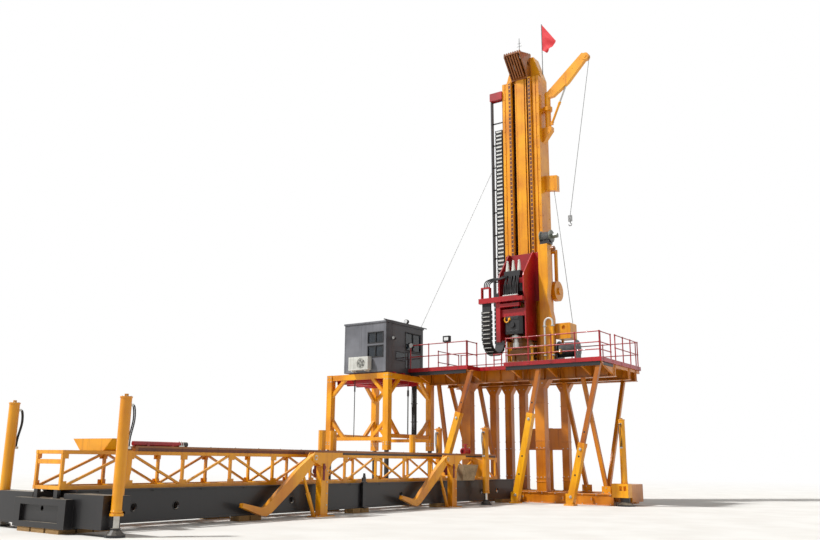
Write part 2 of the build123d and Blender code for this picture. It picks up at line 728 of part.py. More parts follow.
def v_legs():
    """Slanting legs: a V at the near end, and the slanting pairs at the far end."""
    front, middle, rear = lines
    e_y = base_near + 330
    parts = [leg(front, e_y, front, e_y + 900, leg_w) + leg(front, e_y, rear - 150, e_y, leg_w)]
    parts.append(leg(front, base_far - 310, front, base_far + 400, leg_w))
    parts.append(leg(middle, base_far - 650, middle, base_far + 750, leg_w))
    parts.append(leg(middle, y_well + 1750, middle, y_well + 2750, leg_w))
    parts.append(leg(middle, y_well - 2750, middle, y_well - 1800, leg_w))
    return group(parts)


def base_frame():
    """Three beams along Y with cross members between them, and the box at the near end."""
    parts = []
    widths = (base_w, base_w * 0.6, base_w)
    t = 40
    for x, w in zip(lines, widths):
        beam = [box(x - w / 2, x + w / 2, base_near, base_far, z, z + t) for z in (0, base_h - t)]
        beam.append(box(x - w / 2 + 40, x + w / 2 - 40, base_near, base_far, 0, base_h))
        for y in between(base_near + 20, base_far - 20, 2):
            beam.append(box(x - w / 2, x + w / 2, y - 20, y + 20, 0, base_h))
        parts.append(joined(beam))
    for y in between(base_near + 200, base_far - 200, 4):
        for (xa, wa), (xb, wb) in zip(list(zip(lines, widths))[:-1], list(zip(lines, widths))[1:]):
            parts.append(box(xa + wa / 2 + weld, xb - wb / 2 - weld, y - 120, y + 120, 0, base_h - 80))
    x = side_jack[0] + 225 + gap
    parts.append(box(x, x + 1300, base_near - 700, base_near, 150, 870))
    return group(parts)


# Mast
def mast_half(s):
    """Front outline of half the mast, from its middle to its outer corner, in X and Y."""
    half = mast_w / 2
    points = [(mast_x, 0), (mast_x, 0.21 * half), (mast_x + slot_d, 0.21 * half), (mast_x + slot_d, 0.24 * half),
              (mast_x + 40, 0.24 * half), (mast_x + 40, 0.31 * half), (mast_x + slot_d, 0.31 * half),
              (mast_x + slot_d, 0.46 * half), (mast_x + rail_seat, 0.46 * half),
              (mast_x + rail_seat, 0.65 * half), (mast_x, 0.65 * half), (mast_x, 0.82 * half),
              (mast_x + 60, 0.82 * half), (mast_x + 60, 0.855 * half), (mast_x, 0.855 * half), (mast_x, half),
              (mast_x + mast_d, half)]
    return [(x, y_well + s * y) for x, y in points]


def mast_body():
    """The box mast with middle panel, slots and corner flanges, and its two rails in their seats."""
    left = mast_half(1)
    right = mast_half(-1)
    outline = left + list(reversed(right))[:-1]
    face = make_face(Polyline(*outline, close=True))
    parts = [extrude(Plane(origin=(0, 0, floor_z)) * face, mast_h)]
    for s in (-1, 1):
        y = y_well + s * 0.23 * mast_w
        parts.append(box(mast_x - mast_rail_h, mast_x + rail_seat, y, y + s * mast_rail_w, floor_z, mast_top))
    return group(parts)


def crown():
    """An overhanging hood with cheeks, ribs and sheaves, in front of a tapered head plate."""
    z = mast_top
    front = mast_x - crown_out
    rise = crown_h
    side = [(front, z + rise - 120), (mast_x - 170, z + 240), (mast_x, z), (mast_x + 400, z),
            (mast_x + 400, z + rise + 350), (front, z + rise)]
    parts = []
    for s in (-1, 1):
        y = y_well + s * (crown_half - 30)
        cheek = plate_xz(side, y, 60)
        parts.append(cheek - disc(mast_x + 60, y, z + 0.72 * rise, 120, 100, 8))
    top = [(front, z + rise), (front, z + rise - 60), (mast_x + 400, z + rise + 290), (mast_x + 400, z + rise + 350)]
    parts.append(plate_xz(top, y_well, 2 * crown_half))
    for dy in between(-0.6, 0.6, 4):
        a = (front + 30, y_well + dy * crown_half, z + rise - 90)
        b = (mast_x - 60, y_well + dy * crown_half, z + 130)
        parts.append(bar(a, b, 70, 150))
        parts.append(disc(mast_x - 120, y_well + dy * crown_half, z + 0.66 * rise, 360, 60, 14))
    axle = (y_well - crown_half + 10, y_well + crown_half - 10)
    parts.append(rod((mast_x - 120, axle[0], z + 0.66 * rise), (mast_x - 120, axle[1], z + 0.66 * rise), 70))
    parts.append(box(mast_x - 40, mast_x + 400, axle[0], axle[1], z, z + 0.3 * rise))
    half = mast_w / 2
    plate = [(y_well - half, z), (y_well + half, z), (y_well + crown_half + 150, z + rise + 150),
             (y_well - crown_half - 150, z + rise + 150)]
    parts.append(plate_yz(plate, mast_x + 390, mast_d - 390))
    return joined(parts)


pole_x = mast_x + mast_d - 150
pole_y = y_well - 0.88 * mast_w / 2
pole_h = 3300
rod_x = mast_x - crown_out + 70
rod_y = y_well - crown_half + 60


def mast_poles():
    """The flag pole behind the crown, and the lightning rod on the hood's front corner."""
    pole = rod((pole_x, pole_y, mast_top), (pole_x, pole_y, mast_top + pole_h), 22)
    pole = pole + rod((pole_x, pole_y, mast_top), (pole_x, pole_y, mast_top + 200), 60)
    pole = pole - crown()
    z = mast_top + crown_h + 40
    air = rod((rod_x, rod_y, z - 40), (rod_x, rod_y, z + 700), 18)
    for h, half in ((250, 130), (420, 90)):
        air = air + rod((rod_x, rod_y - half, z + h), (rod_x, rod_y + half, z + h), 10)
    return group([pole, air - crown()])


flag_fly = 800
flag_hoist = 1500


def flag():
    """A plain red flag that hangs from the pole."""
    top = mast_top + pole_h - 30
    y = pole_y - 22 - fit
    outline = [(y, top), (y - flag_fly, top - 0.8 * flag_hoist), (y - 0.3 * flag_fly, top - flag_hoist - 200),
               (y, top - flag_hoist)]
    return plate_yz(outline, pole_x - 6, 12)


def jib_post():
    """The bracket and pin under the jib, the ring round its sleeve, and the line's bracket below."""
    z0 = jib_z - 2400
    z1 = jib_z - 1600
    lower = [(mast_y0, z0), (mast_y0, z1), (jib_y - 230, z1), (jib_y - 230, z1 - 200)]
    ring_z = jib_z - 700
    ring = rod((jib_x, jib_y, ring_z), (jib_x, jib_y, ring_z + 200), jib_r + 80, 16)
    arm = box(jib_x - 160, jib_x + 160, jib_y, mast_y0, ring_z, ring_z + 200)
    bore = shaft((jib_x, jib_y, ring_z - 10), (jib_x, jib_y, ring_z + 210), jib_r + fit)
    steady = ring + arm - bore
    pin = rod((jib_x, jib_y, z1 - 50), (jib_x, jib_y, jib_z - 900), 70, 16)
    z2 = line_z
    guide = [(mast_y0, z2 + 130), (mast_y0, z2 + 880), (mast_y0 - 680, z2 + 800), (mast_y0 - 680, z2)]
    return group([plate_yz(lower, jib_x - 160, 320) + pin, steady, plate_yz(guide, jib_x - 150, 300)])


def jib_boom():
    """The slewing sleeve with its boom foot, tapered boom and luffing cylinder."""
    z0 = jib_z - 1600 + fit
    y = jib_y
    sleeve = rod((jib_x, y, z0), (jib_x, y, jib_z + 300), jib_r, 16)
    sleeve = sleeve - shaft((jib_x, y, z0 - 10), (jib_x, y, jib_z - 890), 70 + fit)
    tip_y = y - jib_reach
    tip_z = jib_z + jib_rise
    outline = [(y, jib_z), (y, jib_z + 300), (tip_y + 180, tip_z), (tip_y, tip_z - 60), (tip_y, tip_z - 400),
               (y - 1200, jib_z + 560), (y - 360, jib_z + 20)]
    parts = [sleeve, plate_yz(outline, jib_x - 110, 220)]
    a = (jib_x, y - jib_r - 50, jib_z - 1420)
    b = (jib_x, y - 1040, jib_z + 480)
    mid = tuple(p + (q - p) * 0.55 for p, q in zip(a, b))
    parts.append(rod(a, b, 40))
    parts.append(rod(a, mid, 62))
    parts.append(box(jib_x - 60, jib_x + 60, y - jib_r - 110, y - jib_r + 30, jib_z - 1480, jib_z - 1340))
    parts.append(rod((jib_x - 130, tip_y, tip_z - 230), (jib_x + 130, tip_y, tip_z - 230), 190, 14))
    return joined(parts)


def jib_rope():
    """The hoist line from the tip sheave, drawn in towards the mast, with its hook block."""
    tip_y = jib_y - jib_reach - 190
    y = tip_y + jib_lean
    z1 = jib_z + jib_rise - 230
    z0 = z1 - jib_drop
    line = rod((jib_x, y, z0), (jib_x, tip_y, z1), 14)
    block = box(jib_x - 45, jib_x + 45, y - 90, y + 90, z0 - 250, z0 + 50)
    points = [(0, -230), (0, -330), (-70, -400), (-40, -470), (50, -470), (90, -400)]
    hook = [rod((jib_x, y + a, z0 + b), (jib_x, y + c, z0 + d), 22, 6) for (a, b), (c, d) in zip(points, points[1:])]
    return joined([line, block] + hook) - jib_boom()


def hose_tray():
    """The open tray beside the mast: outer post, rungs, inner edge, cap and standing chain run."""
    y = mast_y1
    x0 = mast_x - 50
    x1 = mast_x + 150
    z0 = car_z0
    z1 = mast_top - 800
    outer = box(x0, x1, y + tray_w - 70, y + tray_w, z0, z1)
    inner = box(x0 + 60, x1, y, y + 25, z0, z1)
    cap = box(x0 - 40, x1 + 40, y, y + tray_w + 30, z1, z1 + 420)
    chain = box(x0 + 60, x1 - 20, chain_y, chain_y + 0.8 * chain_w, z0 + 50, z1 - 1700)
    rungs = [box(x1 - 40, x1, y, y + tray_w, z, z + 60) for z in between(z0, z1 - 60, 9)]
    return joined([outer, inner, cap, chain] + rungs)


def drag_chain():
    """The free loop: down from the carriage arm, round a half turn and up before the tray."""
    xa, xb = chain_x
    z = car_z0 - 1850
    half = chain_t / 2
    mid = (xa + xb) / 2
    r = (xb - xa) / 2
    steps = [math.pi * i / 12 for i in range(13)]
    outer = [(mid - (r + half) * math.cos(t), z - (r + half) * math.sin(t)) for t in steps]
    inner = [(mid + (r - half) * math.cos(t), z - (r - half) * math.sin(t)) for t in steps]
    outline = [(xa - half, car_z0 - 150)] + outer + [(xb + half, car_z0 + 600), (xb - half, car_z0 + 600)]
    outline = outline + inner + [(xa + half, car_z0 - 150)]
    return plate_xz(outline, chain_y + chain_w / 2, chain_w)


# Carriage
def carriage():
    """Back plate with shoes beside the mast rails, two cheeks, the cross arm and its beams."""
    x1 = car_x1
    z0 = car_z0
    xf = well_x - 450
    rail_y = 0.46 * mast_w / 2
    parts = [box(x1 - 80, x1, y_well - 900, y_well + 900, z0, z0 + car_h)]
    low = z0 - 1950
    outline = [(x1 - 40, z0 + car_h), (x1 - 260, z0 + car_h), (xf + 40, z0 + 1180), (xf, z0 + 1050),
               (xf, z0 + 300), (xf + 150, z0), (xf + 150, low), (x1 - 40, low)]
    for s in (-1, 1):
        y = y_well + s * cheek_half
        parts.append(plate_xz(outline, y, cheek_t))
        for z in (z0 + 100, z0 + car_h - 400):
            y = y_well + s * (rail_y + mast_rail_w + fit + 25)
            parts.append(box(x1 - 40, mast_x - 20, y - 25, y + 25, z, z + 300))
    arm_y1 = chain_y + chain_w + 150
    parts.append(box(xf - 150, xf + 70, y_well - 400, arm_y1, z0 - 150, z0 + 100))
    parts.append(box(xf - 150, xf + 150, y_well - cheek_half, y_well + cheek_half, z0 - 150, z0 + 40))
    parts.append(box(well_x - 290, well_x + 330, y_well - cheek_half, y_well + cheek_half, z0 - 850, z0 - 490))
    parts.append(box(xf - 20, xf + 150, y_well - 420, y_well + cheek_half, z0 - 400, z0 - 230))
    for y in (chain_y - 10, chain_y + chain_w - 30):
        parts.append(box(xf - 150, xf + 50, y, y + 40, z0 + 100, z0 + 620))
    parts.append(box(xf - 150, xf - 60, chain_y, chain_y + chain_w, z0 + 560, z0 + 640))
    y = y_well + cheek_half
    parts.append(box(xf + 20, xf + 160, y - 30, y + 190, z0 - 2050, z0 - 100))
    for z in (z0 + 150, z0 - 900):
        parts.append(box(x1 - 160, x1 - 60, y_well - cheek_half, y_well + cheek_half, z, z + 200))
    return joined(parts)


def top_drive():
    """Gearbox under the carriage's cross box, and the neck, manifold and hose ends above it."""
    x = well_x
    z0 = car_z0 - 1700
    z1 = car_z0 - 850
    half = cheek_half - cheek_t / 2 - gap
    low = Pos(x - 20, y_well, (z0 + z1) / 2) * Box(700, 960, z1 - z0)
    low = chamfer(low.edges().filter_by(Axis.Z), 140)
    low = low - shaft((x, y_well, z0 - 10), (x, y_well, z0 + 500), 120 + fit)
    neck = rod((x, y_well, car_z0 - 490), (x, y_well, z0 + 3000), 190, 12)
    link = box(x, car_x1 - 80, y_well - half, y_well + half, car_z0 + 400, car_z0 + 800)
    block = box(x - 330, x + 200, y_well - 420, y_well + 420, z0 + 2800, z0 + 3050)
    parts = [neck, link, block]
    for dy in (-310, 0, 310):
        parts.append(cone(x - 150, y_well + dy, z0 + 3050, 105, 45, 500, 8))
    return group([low, joined(parts)])


def spindle():
    """The turning output shaft with its flange and saver sub."""
    x = well_x
    z0 = car_z0 - 1700
    parts = [rod((x, y_well, z0 - 640), (x, y_well, z0 + 500 - fit), 120, 20)]
    parts.append(rod((x, y_well, z0 - 180), (x, y_well, z0 - 60), 250, 16))
    parts.append(rod((x, y_well, z0 - 640), (x, y_well, z0 - 400), 160, 12))
    return joined(parts)


# Floor equipment
def rotary_table():
    """The table ring over the well, and the pipe wrench unit behind it."""
    a = (well_x, y_well, floor_z)
    b = (well_x, y_well, floor_z + 250)
    ring = rod(a, b, 420, 16) - rod(a, b, well_half - 5, 16)
    x0 = well_x + 450
    x1 = mast_x - mast_rail_h - 40
    half = cheek_half - cheek_t / 2 - 3 * gap
    unit = [box(x0, x1, y_well - half, y_well + half, floor_z, floor_z + 380)]
    for dy in (-0.75 * half, 0.75 * half):
        unit.append(rod((x0 + 110, y_well + dy, floor_z + 350), (x0 + 110, y_well + dy, floor_z + 1560), 100, 12))
    for a, b in ((620, 900), (1050, 1250), (1400, 1590)):
        unit.append(box(x0, x1 - 40, y_well - half, y_well + half, floor_z + a, floor_z + b))
    unit.append(box(x0 + 60, x1 - 100, y_well - 0.5 * half, y_well + 0.5 * half, floor_z + 350, floor_z + 1450))
    return group([ring, joined(unit)])


def pipe_handler():
    """The handler beside the mast: wide foot, narrow waist, upright arm, slew disc and cylinder."""
    x0 = mast_x - 450
    x1 = mast_x - 50
    z = floor_z
    y0 = mast_y0 + 60
    arm = [(y0, z + 5950), (y0 - 480, z + 5950), (y0 - 480, z + 4050), (y0 - 420, z + 3550), (y0 - 420, z + 3300),
           (y0 - 620, z + 2300), (y0 - 620, z), (y0, z)]
    parts = [plate_yz(arm, x0, x1 - x0)]
    for z0 in (z + 1500, z + 5300):
        parts.append(box(x0 + 200, mast_x + 300, mast_y0 - 260, mast_y0 - weld, z0, z0 + 300))
    disc_x = mast_x + mast_d - 50
    disc_z = z + 3850
    parts.append(box(disc_x - 350, disc_x, mast_y0 - 120, mast_y0 - weld, disc_z - 200, disc_z + 200))
    parts.append(disc(disc_x, mast_y0 - 220, disc_z, 500, 220))
    parts.append(disc(disc_x, mast_y0 - 220, disc_z, 180, 380, 12))
    parts.append(rod((disc_x + 50, mast_y0 - 200, disc_z + 450), (disc_x + 50, mast_y0 - 200, disc_z + 2100), 90, 12))
    parts.append(box(disc_x - 100, disc_x - 40, mast_y0 - 260, mast_y0 - weld, disc_z + 1900, disc_z + 2060))
    parts.append(box(disc_x - 100, disc_x + 60, mast_y0 - 260, mast_y0 - 140, disc_z + 1900, disc_z + 2060))
    near = joined([parts[0], parts[1], parts[2]])
    far = joined(parts[3:])
    return group([near, far])


def winches():
    """The drum on top of the handler, and the winch on the floor beside it."""
    y0 = mast_y0 - 40
    y1 = y0 - 560
    z = floor_z + 5950
    x = mast_x - 250
    drum = rod((x, y1, z + 380), (x, y0, z + 380), 230, 16)
    for y in (y1, y0 - 40):
        drum = drum + rod((x, y, z + 380), (x, y + 40, z + 380), 310, 16)
    base = box(x - 190, x + 190, y1 + 60, y0, z, z + 160)
    motor = rod((x, y1 - 300, z + 380), (x, y1 + 10, z + 380), 120, 8)
    yf = mast_y0 - 1150
    zf = floor_z + 815
    big = rod((mast_x, yf - 460, zf), (mast_x, yf + 460, zf), 330, 16)
    for dy in (-460, 420):
        big = big + rod((mast_x, yf + dy, zf), (mast_x, yf + dy + 40, zf), 425, 16)
        big = big + box(mast_x - 330, mast_x + 330, yf + dy, yf + dy + 40, floor_z, zf)
    return group([joined([drum, base, motor]), big])


def winch_cover():
    """The yellow box above the floor winch, on two legs behind it, with its round hole."""
    yf = mast_y0 - 965
    z0 = floor_z + 1320
    x0 = mast_x - 150
    x1 = mast_x + 560
    case = box(x0, x1, yf - 375, yf + 375, z0, z0 + 750)
    case = chamfer(case.edges().filter_by(Axis.X), 40)
    case = case - rod((x0 - 10, yf - 25, z0 + 540), (x0 + 100, yf - 25, z0 + 540), 90, 16)
    for dy in (-375, 275):
        case = case + box(x1 - 100, x1, yf + dy, yf + dy + 100, floor_z, z0 + 100)
    return case


def standpipe():
    """The white pipe bend on its header, with a flanged valve and feet on the floor."""
    x = well_x - 50
    y0 = mast_y0 - 460
    y1 = y0 - 400
    z = floor_z
    low = 900
    r = (y0 - y1) / 2
    turn = [(x, (y0 + y1) / 2 + r * math.cos(t), z + 2000 + r * math.sin(t)) for t in between(0, math.pi, 6)]
    path = Polyline((x, y0, z), *turn, (x, y1, z))
    pipe = sweep(Plane(origin=(x, y0, z), z_dir=(0, 0, 1)) * RegularPolygon(45, 8), path=path, transition=Transition.RIGHT)
    head = rod((x, y1 + 20, z + low), (x, y0 + 660, z + low), 40)
    post = rod((x, y0 + 660, z), (x, y0 + 660, z + 1000), 60)
    parts = [pipe, head, post]
    for dz in (250, 550, 850):
        parts.append(rod((x, y0 + 660, z + dz), (x, y0 + 660, z + dz + 50), 110, 8))
    parts.append(rod((x, y1, z + 600), (x, y1 - 380, z + 600), 40))
    parts.append(rod((x, y1 - 330, z + 600), (x, y1 - 380, z + 600), 120))
    return joined(parts)


def mast_stay():
    """The stay from the mast to the cabin roof, and the winch line from its bracket to the floor winch."""
    top = (mast_x + 0.85 * mast_d, mast_y1 + 40, floor_z + 0.84 * mast_h)
    low = (cabin_x1 - 40, cabin_y0 + 90, cabin_z1 + 60)
    lug = box(top[0] - 60, top[0] + 60, mast_y1, mast_y1 + 80, top[2] - 60, top[2] + 60)
    ear = box(low[0] - 30, low[0] + 30, low[1] - 30, low[1] + 30, cabin_z1, cabin_z1 + 90)
    stay = joined([rod(top, low, 12, 6), lug, ear])
    foot = (jib_x + 20, mast_y0 - 1180, floor_z + 2070)
    line = rod((jib_x + 20, mast_y0 - 450, line_z + 60), foot, 14, 6)
    return group([stay, line - jib_post() - winch_cover()])


place("skid_frame", skid())
place("timber_blocks", blocks())
place("truss_near_side", truss_side(-1))
place("truss_far_side", truss_side(1))
place("truss_cross_bars", truss_cross())
place("pipe_rack", pipe_rack())
place("jack_barrels", jack_barrels())
place("support_feet", support_feet())
place("arm_posts", arm_posts())
place("loading_arm_front", loading_arm(arm_posts_x[0]))
place("loading_arm_rear", loading_arm(arm_posts_x[1]))
place("crate", crate())
place("cabin_frame", cabin_frame())
place("cabin_floor_beams", cabin_beams())
place("cabin_walls", cabin_walls())
place("cabin_floor", cabin_floor())
place("cabin_roof", cabin_roof())
place("cabin_glass", cabin_glass())
place("cabin_cooler", cooler())
place("drill_floor_deck", deck())
place("floor_edge_band", edge_band())
place("floor_beams", floor_beams())
place("guard_rails", guard_rails())
place("columns", columns())
place("struts", struts())
place("v_legs", v_legs())
place("base_frame", base_frame())
place("mast_body", mast_body())
place("mast_crown", crown())
place("mast_poles", mast_poles())
place("mast_stay", mast_stay())
place("flag", flag())
place("jib_post", jib_post())
place("jib_boom", jib_boom())
place("jib_rope", jib_rope())
place("hose_tray", hose_tray())
place("drag_chain", drag_chain())
place("carriage", carriage())
place("top_drive", top_drive())
place("spindle", spindle())
place("rotary_table", rotary_table())
place("pipe_handler", pipe_handler())
place("winches", winches())
place("winch_cover", winch_cover())
place("standpipe", standpipe())
write_nodes()
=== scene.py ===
# %% [markdown]
# A geothermal drilling rig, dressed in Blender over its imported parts.
# The rig could be modelled again here by eye, but its parts already exist as exact solids. So the frame
# comes first: it loads every node in its real place, in metres, and all that follows is fitted to it.

# %% Load the frame
import bpy
import bmesh
import json
import math
import random
from mathutils import Vector, Matrix

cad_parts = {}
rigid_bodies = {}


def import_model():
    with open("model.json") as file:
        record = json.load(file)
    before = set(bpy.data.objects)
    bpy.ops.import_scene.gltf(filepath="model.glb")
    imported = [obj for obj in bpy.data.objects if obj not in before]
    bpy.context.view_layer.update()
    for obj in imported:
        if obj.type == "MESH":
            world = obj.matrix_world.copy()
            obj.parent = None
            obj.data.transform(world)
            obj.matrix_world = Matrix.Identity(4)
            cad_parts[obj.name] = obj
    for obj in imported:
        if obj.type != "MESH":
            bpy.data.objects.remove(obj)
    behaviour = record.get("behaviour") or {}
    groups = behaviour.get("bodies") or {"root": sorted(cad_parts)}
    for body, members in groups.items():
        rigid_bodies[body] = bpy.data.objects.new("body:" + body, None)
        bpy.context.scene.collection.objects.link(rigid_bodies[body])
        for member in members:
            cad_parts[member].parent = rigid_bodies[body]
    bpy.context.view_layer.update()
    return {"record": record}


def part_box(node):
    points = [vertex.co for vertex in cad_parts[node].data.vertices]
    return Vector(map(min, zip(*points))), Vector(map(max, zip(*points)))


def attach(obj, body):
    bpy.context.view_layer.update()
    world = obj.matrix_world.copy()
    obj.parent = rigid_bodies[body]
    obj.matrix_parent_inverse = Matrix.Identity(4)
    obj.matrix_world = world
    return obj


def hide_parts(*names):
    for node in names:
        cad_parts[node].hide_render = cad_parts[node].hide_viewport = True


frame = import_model()

# %% [markdown]
# The rig's drawing has its own zero, at the middle of the pipe trailer.
# The mast's low corner has a known place on that drawing, so the shift between the two is worked out once.
# After this, every place below is written as the drawing gives it.

# %% From the drawing to the frame
MAST_X, MAST_Y = 11.24, -1.69       # the mast's low corner on the drawing
mast_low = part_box("mast_body")[0]
SHIFT = Vector((mast_low.x - MAST_X, mast_low.y - MAST_Y, 0))


def at(x, y, z):
    """A place on the drawing as a place in the frame."""
    return Vector((x, y, z)) + SHIFT


print("drawing zero is at", [round(v, 3) for v in SHIFT])

# %% [markdown]
# The camera takes the photograph's own viewpoint: at eye height near the trailer's nose, tilted up, with
# a lens near 36 mm on a full frame. It could be aimed by an empty and a constraint, but three plain
# angles are easier to read and can be set to a hundredth of a degree.

# %% Camera
EYE = (-24.416, -18.653, 1.748)
HEADING = math.radians(35.68)
PITCH = math.radians(13.0)
ROLL = math.radians(0.64)
PHOTO_WIDTH = 820                   # pixels, as are the next two
FOCAL_PX = 823.88
CENTRE_PX = 397.83

ahead = Vector((math.cos(HEADING) * math.cos(PITCH), math.sin(HEADING) * math.cos(PITCH), math.sin(PITCH)))
level = Vector((math.sin(HEADING), -math.cos(HEADING), 0))
right = level * math.cos(ROLL) + level.cross(ahead) * math.sin(ROLL)
up = right.cross(ahead)
lens = bpy.data.cameras.new("camera")
lens.sensor_width = 36.0
lens.lens = FOCAL_PX / PHOTO_WIDTH * lens.sensor_width
lens.shift_x = (PHOTO_WIDTH / 2 - CENTRE_PX) / PHOTO_WIDTH
lens.clip_end = 500
camera = bpy.data.objects.new("camera", lens)
bpy.context.scene.collection.objects.link(camera)
camera.matrix_world = Matrix.Translation(at(*EYE)) @ Matrix((right, up, -ahead)).transposed().to_4x4()
bpy.context.scene.camera = camera
print("lens", round(lens.lens, 1), "mm")

# %% [markdown]
# Colours are written as sRGB hex values, as a paint chart gives them, and Blender works in linear light,
# so one function turns them over. One more adds a node of any kind: its inputs by name or number, each a
# plain value or another node's output, and its settings by name. That keeps a node tree as short as a recipe.

# %% Colour and node helpers
def linear(code):
    """An sRGB hex colour as linear values with alpha 1."""
    values = [int(code[i:i + 2], 16) / 255 for i in (1, 3, 5)]
    return (*[v / 12.92 if v <= 0.04045 else ((v + 0.055) / 1.055) ** 2.4 for v in values], 1)


def feed(node, inputs):
    """Gives a node its inputs: another node's output is linked, a hex colour or a value is set."""
    for key, value in inputs.items():
        if isinstance(value, bpy.types.NodeSocket):
            node.id_data.links.new(value, node.inputs[key])
        else:
            node.inputs[key].default_value = linear(value) if isinstance(value, str) else value


def add(tree, kind, inputs=None, out=0, **settings):
    """Adds one node with its settings and links, and returns the output named by out, or the node for None."""
    node = tree.nodes.new("ShaderNode" + kind)
    for key, value in settings.items():
        setattr(node, key, value)
    feed(node, inputs or {})
    return node if out is None else node.outputs[out]


def new_material(name, values):
    """A material with plain values on its shader, given with its tree, its shader and the place on the rig."""
    material = bpy.data.materials.new(name)
    material.use_nodes = True
    tree = material.node_tree
    shader = tree.nodes["Principled BSDF"]
    feed(shader, values)
    return material, tree, shader, add(tree, "TexCoord", out="Object")


print("middle grey in linear light", round(linear("#808080")[0], 3))

# %% [markdown]
# The rig stands on pale concrete, a plain sheet that catches its shadow. A sheet has an edge, which would
# cut the picture as a horizon line. So far from the rig the concrete fades to the white of the
# background, for the camera's own rays only, and the shadow stays.

# %% Floor
bpy.context.scene.view_settings.view_transform = "Standard"
concrete, tree, shader, spot = new_material("pale_concrete_floor", {"Base Color": "#DEDCD6", "Roughness": 0.9})
clouds = add(tree, "TexNoise", {"Vector": spot, "Scale": 0.6, "Detail": 6.0})      # pours 1.7 m across
mask = add(tree, "MapRange", {0: clouds, 1: 0.35, 2: 0.65})
feed(shader, {"Base Color": add(tree, "Mix", {0: mask, 6: "#DAD7D1", 7: "#E2E0DB"}, 2, data_type="RGBA")})
away = add(tree, "VectorMath", {0: spot}, "Value", operation="LENGTH")
fading = add(tree, "MapRange", {0: away, 1: 26.0, 2: 70.0})                        # metres from the rig
seen = add(tree, "LightPath", out="Is Camera Ray")
fade = add(tree, "Math", {0: fading, 1: seen}, operation="MULTIPLY")
white = add(tree, "Emission", {"Color": (1, 1, 1, 1), "Strength": 1.0})
mixed = add(tree, "MixShader", {0: fade, 1: shader.outputs[0], 2: white})
feed(tree.nodes["Material Output"], {"Surface": mixed})

REACH = 140
mesh = bpy.data.meshes.new("floor")
mesh.from_pydata([(-REACH, -REACH, 0), (REACH, -REACH, 0), (REACH, REACH, 0), (-REACH, REACH, 0)], [], [(0, 1, 2, 3)])
mesh.materials.append(concrete)
floor = bpy.data.objects.new("floor", mesh)
bpy.context.scene.collection.objects.link(floor)
print("floor", 2 * REACH, "m wide")

# %% [markdown]
# Outdoors a hard sun does most of the work and the sky only fills the shade. The background has to be
# white for the camera, and white all over would flood the shade. So the sky is full strength for what the
# camera sees directly, in gloss or through glass, and weak for the soft light that fills the shade.

# %% Sky and sun
world = bpy.data.worlds.new("studio")
bpy.context.scene.world = world
world.use_nodes = True
tree = world.node_tree
path = add(tree, "LightPath", out=None)
bright = path.outputs["Is Camera Ray"]
for kind in ("Is Glossy Ray", "Is Transmission Ray"):
    bright = add(tree, "Math", {0: bright, 1: path.outputs[kind]}, operation="MAXIMUM")
strength = add(tree, "MapRange", {0: bright, 1: -0.6, 2: 1.0})                     # 0.375 for soft light, else 1
feed(tree.nodes["Background"], {"Color": (1, 1, 1, 1), "Strength": strength})

SUNBEAM = Vector((1.0, -0.85, -1.6))         # the way the light travels
sun_data = bpy.data.lights.new("sun", "SUN")
sun_data.energy = 3.8
sun_data.angle = math.radians(5)
sun = bpy.data.objects.new("sun", sun_data)
bpy.context.scene.collection.objects.link(sun)
sun.rotation_euler = SUNBEAM.to_track_quat("-Z", "Y").to_euler()
print("sun", round(math.degrees(math.asin(-SUNBEAM.normalized().z))), "degrees high")

# %% [markdown]
# Some parts wear two paints, as where a cap or a stem was sprayed apart from the rest. The part could be
# cut in two for that, but it is one solid and stays so: a mask by position, one box of the drawing,
# says where the second paint lies.

# %% Where a second paint lies
def region_mask(tree, spot, region):
    """1 inside a box of the drawing, given as (low, high) for X, Y and Z, or None where it has no limit."""
    mask = 1.0
    parts = add(tree, "SeparateXYZ", {0: spot}, out=None)
    for axis, limits in enumerate(region):
        if limits:
            low, high = [v + SHIFT[axis] for v in limits]
            middle, half = (low + high) / 2, (high - low) / 2
            inside = add(tree, "Math", {0: parts.outputs[axis], 1: middle, 2: half}, operation="COMPARE")
            mask = add(tree, "Math", {0: mask, 1: inside}, operation="MULTIPLY")
    return mask


print("paint boxes move by", [round(v, 3) for v in SHIFT])

# %% [markdown]
# Most of the rig is welded steel under sprayed machine enamel. The eye reads it by a slightly uneven
# tone, dust on whatever faces up, thin dark streaks that rain draws down the sides, and a worn, rusty
# line along the edges. Flat colour would look like plastic, and painted textures would need an unwrap of
# every part, so all of it comes from position and from the way a face looks. The edges are never sharp
# either: a bevel normal rounds them by 8 mm, and orange peel breaks the gloss.

